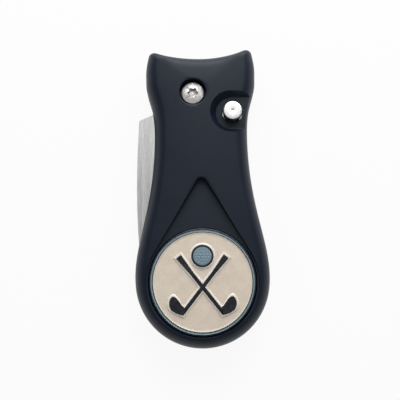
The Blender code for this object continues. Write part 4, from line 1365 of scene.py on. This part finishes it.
@dataclass
class Pivot:
    """The pivot screw with its six-lobe recess, and the post behind it.

    The recess's foot and mouth are (growth, rise) levels, from its floor and from the head's top.
    """

    head_radius: float = 2.7 * MM
    head_low: float = 9.6 * MM
    head_high: float = 11.2 * MM
    head_chamfer: float = 0.1 * MM
    dome: float = 0.32 * MM
    dome_steps: int = 12
    edge: float = 0.18 * MM
    shank_radius: float = 1.12 * MM
    shank_tip: float = 3.95 * MM
    tip_chamfer: float = 0.2 * MM
    thread_start: float = 0.6 * MM
    thread_end: float = 0.5 * MM
    thread_pitch: float = 0.4 * MM
    thread_depth: float = 0.14 * MM
    lobes: int = 6
    lobe_depth: float = 0.26
    lobe_points: int = 96
    recess_radius: float = 1.25 * MM
    recess_depth: float = 0.9 * MM
    recess_turn: float = math.radians(3.0)
    recess_foot: tuple[Point, ...] = ((-0.25 * MM, -0.02 * MM), (-0.08 * MM, 0.05 * MM))
    recess_mouth: tuple[Point, ...] = ((-0.03 * MM, -0.22 * MM), (0.02 * MM, -0.12 * MM),
                                       (0.16 * MM, 0.04 * MM), (0.5 * MM, 0.4 * MM))
    post_edge: float = 0.08 * MM

    def _profile(self) -> list[Point]:
        """The screw's profile: domed head, threaded shank and chamfered tip.

        Returns:
            (radius, height) points.
        """
        dome_end = (self.head_radius - self.edge) / self.head_radius
        profile = []
        for step in range(self.dome_steps + 1):
            share = step / self.dome_steps * dome_end
            profile.append((self.head_radius * share, self.head_high - self.dome * share**2))
        profile += corner(self.head_radius, profile[-1][1], self.edge)[1:]
        profile += [(self.head_radius, self.head_low + self.head_chamfer),
                    (self.head_radius - self.head_chamfer, self.head_low), (self.shank_radius, self.head_low)]
        height = self.head_low - self.thread_start
        while height > self.shank_tip + self.thread_end:
            profile += [(self.shank_radius, height),
                        (self.shank_radius - self.thread_depth, height - self.thread_pitch / 2)]
            height -= self.thread_pitch
        return profile + [(self.shank_radius, height),
                          (self.shank_radius - self.tip_chamfer, self.shank_tip), (0.0, self.shank_tip)]

    def _six_lobe(self, middle: Vector) -> Piece:
        """The cutter of the six-lobe recess.

        Args:
            middle: The screw's middle.

        Returns:
            The cutter.
        """
        outline = []
        for index in range(self.lobe_points):
            turn = self.recess_turn + math.tau * index / self.lobe_points
            lobe = 1.0 - self.lobe_depth * (1.0 - math.cos(self.lobes * turn)) / 2
            outline.append(polar(self.recess_radius * lobe, turn, middle))
        floor = self.head_high - self.recess_depth
        levels = [(growth, floor + rise) for growth, rise in self.recess_foot]
        levels += [(growth, self.head_high + rise) for growth, rise in self.recess_mouth]
        return prism("cut_six_lobe", outline, levels)

    def build(self, worn: Material, steel: Material) -> None:
        """Build the screw, and the flanged post with its coin slot.

        Args:
            worn: The screw's finish.
            steel: The finish of turned steel.
        """
        middle = middle_of("pivot_screw")
        screw = turned("pivot_screw_fine", self._profile(), middle)
        work(screw, [self._six_lobe(middle)])
        dress(screw, worn, "handle", "bright_metal", "pivot_screw")
        dress(eased_copy("pivot_post_fine", "pivot_post", self.post_edge), steel, "handle", "bright_metal",
              "pivot_post")


@dataclass
class LockButton:
    """The stepped plunger that locks the fork. Its dimple is (radius, depth) points."""

    radius: float = 2.16 * MM
    edge: float = 0.16 * MM
    edge_steps: int = 5
    dimple: tuple[Point, ...] = ((0.0, 0.15 * MM), (0.1 * MM, 0.13 * MM), (0.2 * MM, 0.06 * MM),
                                 (0.28 * MM, 0.01 * MM), (0.36 * MM, 0.0))
    shoulder: float = 9.4 * MM
    shoulder_slope: float = 0.2 * MM
    neck_radius: float = 1.5 * MM
    collar_radius: float = 2.75 * MM
    collar_high: float = 7.0 * MM
    collar_low: float = 4.8 * MM
    collar_chamfer: float = 0.1 * MM
    cup_radius: float = 1.95 * MM
    cup_floor: float = 6.2 * MM

    def build(self, look: Material) -> Piece:
        """Build the plunger.

        Args:
            look: Its finish.

        Returns:
            The dressed plunger.
        """
        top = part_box("lock_button")[1].z
        chamfer = self.collar_chamfer
        profile = [(radius, top - depth) for radius, depth in self.dimple]
        profile += corner(self.radius, top, self.edge, self.edge_steps)
        profile += [(self.radius, self.shoulder), (self.neck_radius, self.shoulder - self.shoulder_slope),
                    (self.neck_radius, self.collar_high), (self.collar_radius - chamfer, self.collar_high),
                    (self.collar_radius, self.collar_high - chamfer),
                    (self.collar_radius, self.collar_low + chamfer),
                    (self.collar_radius - chamfer, self.collar_low), (self.cup_radius, self.collar_low),
                    (self.cup_radius, self.cup_floor), (0.0, self.cup_floor)]
        piece = turned("lock_button_fine", profile, middle_of("lock_button"))
        return dress(piece, look, "button", "bright_metal", "lock_button")


# ---------------------------------------------------------------- the marker
@dataclass(frozen=True)
class Club:
    """A golf club's outline: grip at the top, thin shaft, and a head whose toe points to one side."""

    shaft_half: float = 0.425 * MM
    grip_half: float = 0.725 * MM
    grip_foot: float = 4.2 * MM
    top: float = 9.0 * MM
    foot: float = -8.2 * MM
    toe: float = 4.3 * MM
    depth: float = 2.5 * MM
    sole_drop: float = 0.425 * MM
    lean: float = math.radians(38.0)
    shift: float = -1.2 * MM

    def outline(self, side: float, grow: float) -> list[Vector]:
        """The club's outline, leaning to a side and grown all round.

        Args:
            side: 1 or -1, the side that its toe points to.
            grow: How much it is grown by.

        Returns:
            The outline, counter-clockwise.
        """
        shaft, grip = self.shaft_half + grow, self.grip_half + grow
        top, foot, toe = self.top + grow, self.foot - grow, self.toe + grow
        depth = self.depth + 2 * grow
        crown, neck, grip_foot = foot + depth, foot + depth * 0.75, self.grip_foot - grow
        heel = [(shaft, neck), (toe * 0.4, neck), (toe * 0.5, crown), (toe * 0.85, crown)]
        nose = [heel[-1], (toe * 1.15, crown), (toe, foot), (toe * 0.6, foot - self.sole_drop)]
        sole = [nose[-1], (toe * 0.3, foot - self.sole_drop), (0.0, foot), (-shaft, foot + self.sole_drop)]
        head = []
        for curve, steps in ((heel, 10), (nose, 12), (sole, 10)):
            head += span(*(Vector((x, y, 0.0)) for x, y in curve), steps)
        flat = [(shaft, neck), (shaft, grip_foot), (grip, top), (-grip, top), (-shaft, grip_foot)]
        upright = [Vector((x, y, 0.0)) for x, y in flat] + head[::-1]
        lean = Matrix.Rotation(self.lean, 3, "Z")
        leaning = [lean @ spot for spot in upright]
        placed = [Vector((side * spot.x, spot.y + self.shift, 0.0)) for spot in leaning]
        return placed if side > 0 else placed[::-1]


@dataclass
class Marker:
    """The ball marker: coin, enamels and a raised design of crossed clubs and a ball.

    The field's climb is (way in from its edge, depth) points. The halo's levels are (growth, rise) from
    its foot, and from its top. The dimples lie in circles of (count, radius).
    """

    radius: float = 12.5 * MM
    low: float = 9.95 * MM
    top: float = 11.75 * MM
    well: float = 11.35 * MM
    edge: float = 0.2 * MM
    wall_edge: float = 0.05 * MM
    ring_outer: float = 12.1 * MM
    ring_inner: float = 11.68 * MM
    ring_dip: float = 0.05 * MM
    ring_margin: float = 0.08 * MM
    field: float = 11.53 * MM
    field_climb: tuple[Point, ...] = ((0.08 * MM, 0.02 * MM), (0.3 * MM, 0.12 * MM), (0.5 * MM, 0.14 * MM))
    gap: float = 0.02 * MM
    halo: float = 0.5 * MM
    halo_high: float = 11.9 * MM
    halo_depth: float = 0.15 * MM
    halo_foot: tuple[Point, ...] = ((0.0, 0.0), (-0.08 * MM, 0.1 * MM))
    halo_brim: tuple[Point, ...] = ((-0.26 * MM, -0.04 * MM), (-0.36 * MM, 0.0))
    clubs_edge: float = 0.09 * MM
    ball_rise: float = 6.0 * MM
    ball_radius: float = 2.6 * MM
    ball_ring: float = 0.45 * MM
    ball_edge: float = 0.07 * MM
    ball_steps: int = 64
    dome_climb: tuple[Point, ...] = ((0.02 * MM, 0.09 * MM), (0.3 * MM, 0.06 * MM))
    dimple_circles: tuple[tuple[int, float], ...] = ((1, 0.0), (6, 0.75 * MM), (12, 1.45 * MM))
    dimple_radius: float = 0.42 * MM
    dimple_rise: float = 0.3 * MM

    def _coin(self, look: Material) -> None:
        """Build the coin with its rim and divider.

        Args:
            look: Its finish.
        """
        ease = self.wall_edge
        profile = [(0.0, self.well), (self.field, self.well), (self.field, self.top - ease),
                   (self.field + ease, self.top), (self.ring_inner - ease, self.top),
                   (self.ring_inner, self.top - ease), (self.ring_inner, self.well),
                   (self.ring_outer, self.well), (self.ring_outer, self.top - ease),
                   (self.ring_outer + ease, self.top)]
        profile += corner(self.radius, self.top, self.edge)
        profile += corner(self.radius, self.low, self.edge, way=1.0)[::-1]
        profile.append((0.0, self.low))
        piece = turned("marker_coin_fine", profile, middle_of("marker_coin"), FINE_STEPS)
        dress(piece, look, "marker", "coin", "marker_coin")

    def _ring(self, look: Material) -> None:
        """Build the ring enamel, a little hollow between its walls.

        Args:
            look: Its finish.
        """
        inner, outer = self.ring_inner + self.gap, self.ring_outer - self.gap
        low, high = self.well + self.gap, self.top - self.gap
        profile = [(inner, low), (inner, high), (inner + self.ring_margin, high - self.ring_dip),
                   (outer - self.ring_margin, high - self.ring_dip), (outer, high), (outer, low)]
        piece = turned("marker_ring_enamel_fine", profile, middle_of("marker_coin"), FINE_STEPS, True)
        dress(piece, look, "marker", "blue_enamel", "marker_ring_enamel")

    def _field(self, look: Material) -> None:
        """Build the field enamel, climbing at its edge.

        Args:
            look: Its finish.
        """
        outer, low, high = self.field - self.gap, self.well + self.gap, self.top - self.gap
        profile = [(0.0, low), (outer, low), (outer, high)]
        profile += [(outer - inset, high - depth) for inset, depth in self.field_climb]
        profile.append((0.0, high - self.field_climb[-1][1]))
        piece = turned("marker_field_enamel_fine", profile, middle_of("marker_coin"), FINE_STEPS)
        dress(piece, look, "marker", "cream_enamel", "marker_field_enamel")

    def _halo(self, look: Material) -> None:
        """Build the raised cream ground round the design, in a lighter cream that is a painted highlight.

        Args:
            look: Its finish, the lighter cream of the painted highlight.
        """
        low = self.top - self.halo_depth
        levels = [(growth, low + rise) for growth, rise in self.halo_foot]
        levels += [(growth, self.halo_high + rise) for growth, rise in self.halo_brim]
        last = self.ball_steps - 1
        disc = arc(UP_THE_TOOL * self.ball_rise, self.ball_radius + self.halo, 0.0,
                   math.tau * last / self.ball_steps, last)
        plate = prism("marker_halo", Club().outline(1.0, self.halo), levels)
        work(plate, [prism("join_second_halo", Club().outline(-1.0, self.halo), levels),
                     prism("join_ball_halo", disc, levels)], "UNION")
        dress(plate, look, "marker", "cream_enamel")

    def _clubs(self, look: Material) -> None:
        """Build the crossed clubs."""
        dress(eased_copy("marker_clubs_fine", "marker_clubs", self.clubs_edge), look, "marker", "coin",
              "marker_clubs")

    def _ball(self, metal: Material, enamel: Material) -> None:
        """Build the ball: a metal ring round a dimpled enamel dome.

        Args:
            metal: The ring's finish.
            enamel: The dome's finish.
        """
        middle = middle_of("marker_ball_ring")
        low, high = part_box("marker_ball_ring")[0].z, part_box("marker_ball_ring")[1].z
        inner, outer, ease = self.ball_radius - self.ball_ring, self.ball_radius, self.ball_edge
        ring = turned("marker_ball_ring_fine",
                      [(inner, low), (inner, high - ease), (inner + ease, high), (outer - ease, high),
                       (outer, high - ease), (outer, low)], middle, closed=True)
        profile = [(0.0, low), (inner - self.gap, low)]
        profile += [(inner - inset, high - depth) for inset, depth in self.dome_climb]
        dome = turned("marker_ball_enamel_fine", profile + [(0.0, high)], middle, SMALL_STEPS)
        dimples = []
        for count, reach in self.dimple_circles:
            for index in range(count):
                spot = polar(reach, math.tau * index / count, middle)
                mesh = bmesh.new()
                bmesh.ops.create_icosphere(mesh, subdivisions=2, radius=self.dimple_radius)
                bmesh.ops.translate(mesh, vec=spot + at_height(high + self.dimple_rise), verts=mesh.verts)
                dimples.append(to_piece("cut_dimple", mesh))
        work(dome, dimples)
        dress(ring, metal, "marker", "coin", "marker_ball_ring")
        dress(dome, enamel, "marker", "blue_enamel", "marker_ball_enamel")

    def build(self, nickel: Material, blue: Material, cream: Material, painted_highlight_cream: Material) -> None:
        """Build the whole marker.

        Args:
            nickel: The finish of the coin, the clubs and the ball's ring.
            blue: The finish of the ring enamel and the ball.
            cream: The finish of the field enamel.
            painted_highlight_cream: The finish of the enamel that stands up round the design, a lighter copy
                of the cream enamel that paints a highlight on it.
        """
        self._coin(nickel)
        self._ring(blue)
        self._field(cream)
        self._halo(painted_highlight_cream)
        self._clubs(nickel)
        self._ball(nickel, blue)


# ---------------------------------------------------------------- the view
@dataclass
class Camera:
    """The camera, looking down at the front face a little from the marker's end."""

    place: Vector = Vector((-0.40 * MM, -10.98 * MM, 211.0 * MM))
    tilt: float = math.radians(8.6)
    roll: float = math.radians(0.66)
    lens_per_width: float = 2.15
    sensor: float = 36.0
    clip: Point = (0.01, 10.0)

    def build(self) -> None:
        """Make the camera and look through it."""
        data = bpy.data.cameras.new("view")
        data.sensor_width = self.sensor
        data.lens = self.lens_per_width * self.sensor
        data.clip_start, data.clip_end = self.clip
        camera = bpy.data.objects.new("view", data)
        bpy.context.scene.collection.objects.link(camera)
        right = Vector((1.0, 0.0, 0.0))
        up = Vector((0.0, math.cos(self.tilt), math.sin(self.tilt)))
        turned_right = right * math.cos(self.roll) - up * math.sin(self.roll)
        turned_up = right * math.sin(self.roll) + up * math.cos(self.roll)
        axes = Matrix((turned_right, turned_up, turned_right.cross(turned_up))).transposed().to_4x4()
        axes.translation = self.place
        camera.matrix_world = axes
        bpy.context.scene.camera = camera


@dataclass
class Studio:
    """A pale floor, a long soft strip of light overhead and a soft lamp beyond the eared end.

    The strip's ends and widths are where it starts to fade and where it has faded, in the sky's own
    coordinates, from -1 to 1.
    """

    floor_size: float = 0.8
    floor_colour: Colour = (0.8, 0.8, 0.8)
    floor_roughness: float = 0.9
    floor_lift: float = 0.92
    sky_low: float = 0.30
    sky_high: float = 1.15
    strip_middle: float = 0.03
    strip_half_width: Point = (0.34, 0.04)
    strip_start: Point = (-0.03, 0.22)
    strip_end: Point = (0.62, 0.36)
    horizon: Point = (0.28, 0.20)
    lamp_place: Vector = Vector((0.03, 0.28, 0.165))
    lamp_aim: Vector = Vector((0.0, 0.02, 0.0))
    lamp_size: float = 0.40
    lamp_power: float = 1.40

    def build(self) -> None:
        """Make the floor, the sky and the lamp."""
        self._floor()
        self._sky()
        self._lamp()

    @staticmethod
    def _background_ray(tree: Tree) -> Socket:
        """1 for rays that should see the plain background.

        Args:
            tree: The node tree.

        Returns:
            The value.
        """
        path = tree.nodes.new("ShaderNodeLightPath")
        total = path.outputs["Is Camera Ray"]
        for name in ("Is Glossy Ray", "Is Transmission Ray"):
            total = maths(tree, "MAXIMUM", total, path.outputs[name])
        return total

    def _floor(self) -> None:
        """Make the floor, nearly white to the camera but with the tool's shadow on it."""
        mesh = bmesh.new()
        bmesh.ops.create_grid(mesh, x_segments=8, y_segments=8, size=self.floor_size)
        floor = to_piece("floor", mesh)
        look = bpy.data.materials.new("floor")
        look.use_nodes = True
        tree = look.node_tree
        shader = tree.nodes["Principled BSDF"]
        shader.inputs["Base Color"].default_value = (*self.floor_colour, 1.0)
        shader.inputs["Roughness"].default_value = self.floor_roughness
        shader.inputs["Specular IOR Level"].default_value = 0.0
        white = tree.nodes.new("ShaderNodeEmission")
        mix = tree.nodes.new("ShaderNodeMixShader")
        tree.links.new(maths(tree, "MULTIPLY", self._background_ray(tree), self.floor_lift),
                       mix.inputs["Fac"])
        tree.links.new(shader.outputs["BSDF"], mix.inputs[1])
        tree.links.new(white.outputs["Emission"], mix.inputs[2])
        tree.links.new(mix.outputs["Shader"], tree.nodes["Material Output"].inputs["Surface"])
        floor.data.materials.append(look)

    def _sky(self) -> None:
        """Make the sky: a strip of light overhead, dim sides, and a white background at the horizon."""
        world = bpy.data.worlds.new("sky")
        bpy.context.scene.world = world
        world.use_nodes = True
        tree = world.node_tree
        base = tree.nodes["Background"]
        base.inputs["Color"].default_value = (1.0, 1.0, 1.0, 1.0)
        place = tree.nodes.new("ShaderNodeTexCoord")
        way = tree.nodes.new("ShaderNodeSeparateXYZ")
        tree.links.new(place.outputs["Generated"], way.inputs["Vector"])
        aside = maths(tree, "ABSOLUTE", maths(tree, "SUBTRACT", way.outputs["X"], self.strip_middle))
        strip = spread(tree, aside, self.strip_half_width, True)
        for ends in (self.strip_start, self.strip_end):
            strip = maths(tree, "MULTIPLY", strip, spread(tree, way.outputs["Y"], ends, True))
        level = mix_levels(tree, strip, self.sky_low, self.sky_high)
        seen = maths(tree, "MULTIPLY", spread(tree, way.outputs["Z"], self.horizon, True),
                     self._background_ray(tree))
        tree.links.new(mix_levels(tree, seen, level, 1.0), base.inputs["Strength"])

    def _lamp(self) -> None:
        """Make the soft lamp, aimed at the tool."""
        data = bpy.data.lights.new("lamp", "AREA")
        data.shape = "DISK"
        data.size = self.lamp_size
        data.energy = self.lamp_power
        lamp = bpy.data.objects.new("lamp", data)
        bpy.context.scene.collection.objects.link(lamp)
        lamp.location = self.lamp_place
        lamp.rotation_euler = (self.lamp_aim - self.lamp_place).to_track_quat("-Z", "Y").to_euler()


# ---------------------------------------------------------------- the whole tool
def main() -> None:
    """Build every piece, the view and the studio."""
    logging.basicConfig(level=logging.INFO, format="%(name)s: %(message)s")
    Camera().build()
    Studio().build()

    look = make_finishes()
    FrontShell().build(look["matte_blue_black"])
    BackShell().build(look["matte_blue_black"])
    Fork().build(look["brushed_blade"])
    Pivot().build(look["worn_screw"], look["turned_steel"])
    LockButton().build(look["bright_button"])
    # The marker's last finish is the lighter cream that paints a highlight on the raised ground.
    Marker().build(look["black_nickel"], look["blue_enamel"], look["cream_enamel"],
                   look["cream_enamel_painted_highlight"])
    ShellScrews().build(look["turned_steel"], look["turned_brass"])
    for node, finish in (("washer_front", "white_nylon"), ("washer_back", "white_nylon"),
                         ("fork_spring", "spring_wire"), ("button_spring", "spring_wire"),
                         ("marker_magnet", "plated_magnet")):
        redress(node, look[finish])

    bpy.context.scene.view_settings.view_transform = "Standard"


if __name__ == "__main__":
    main()
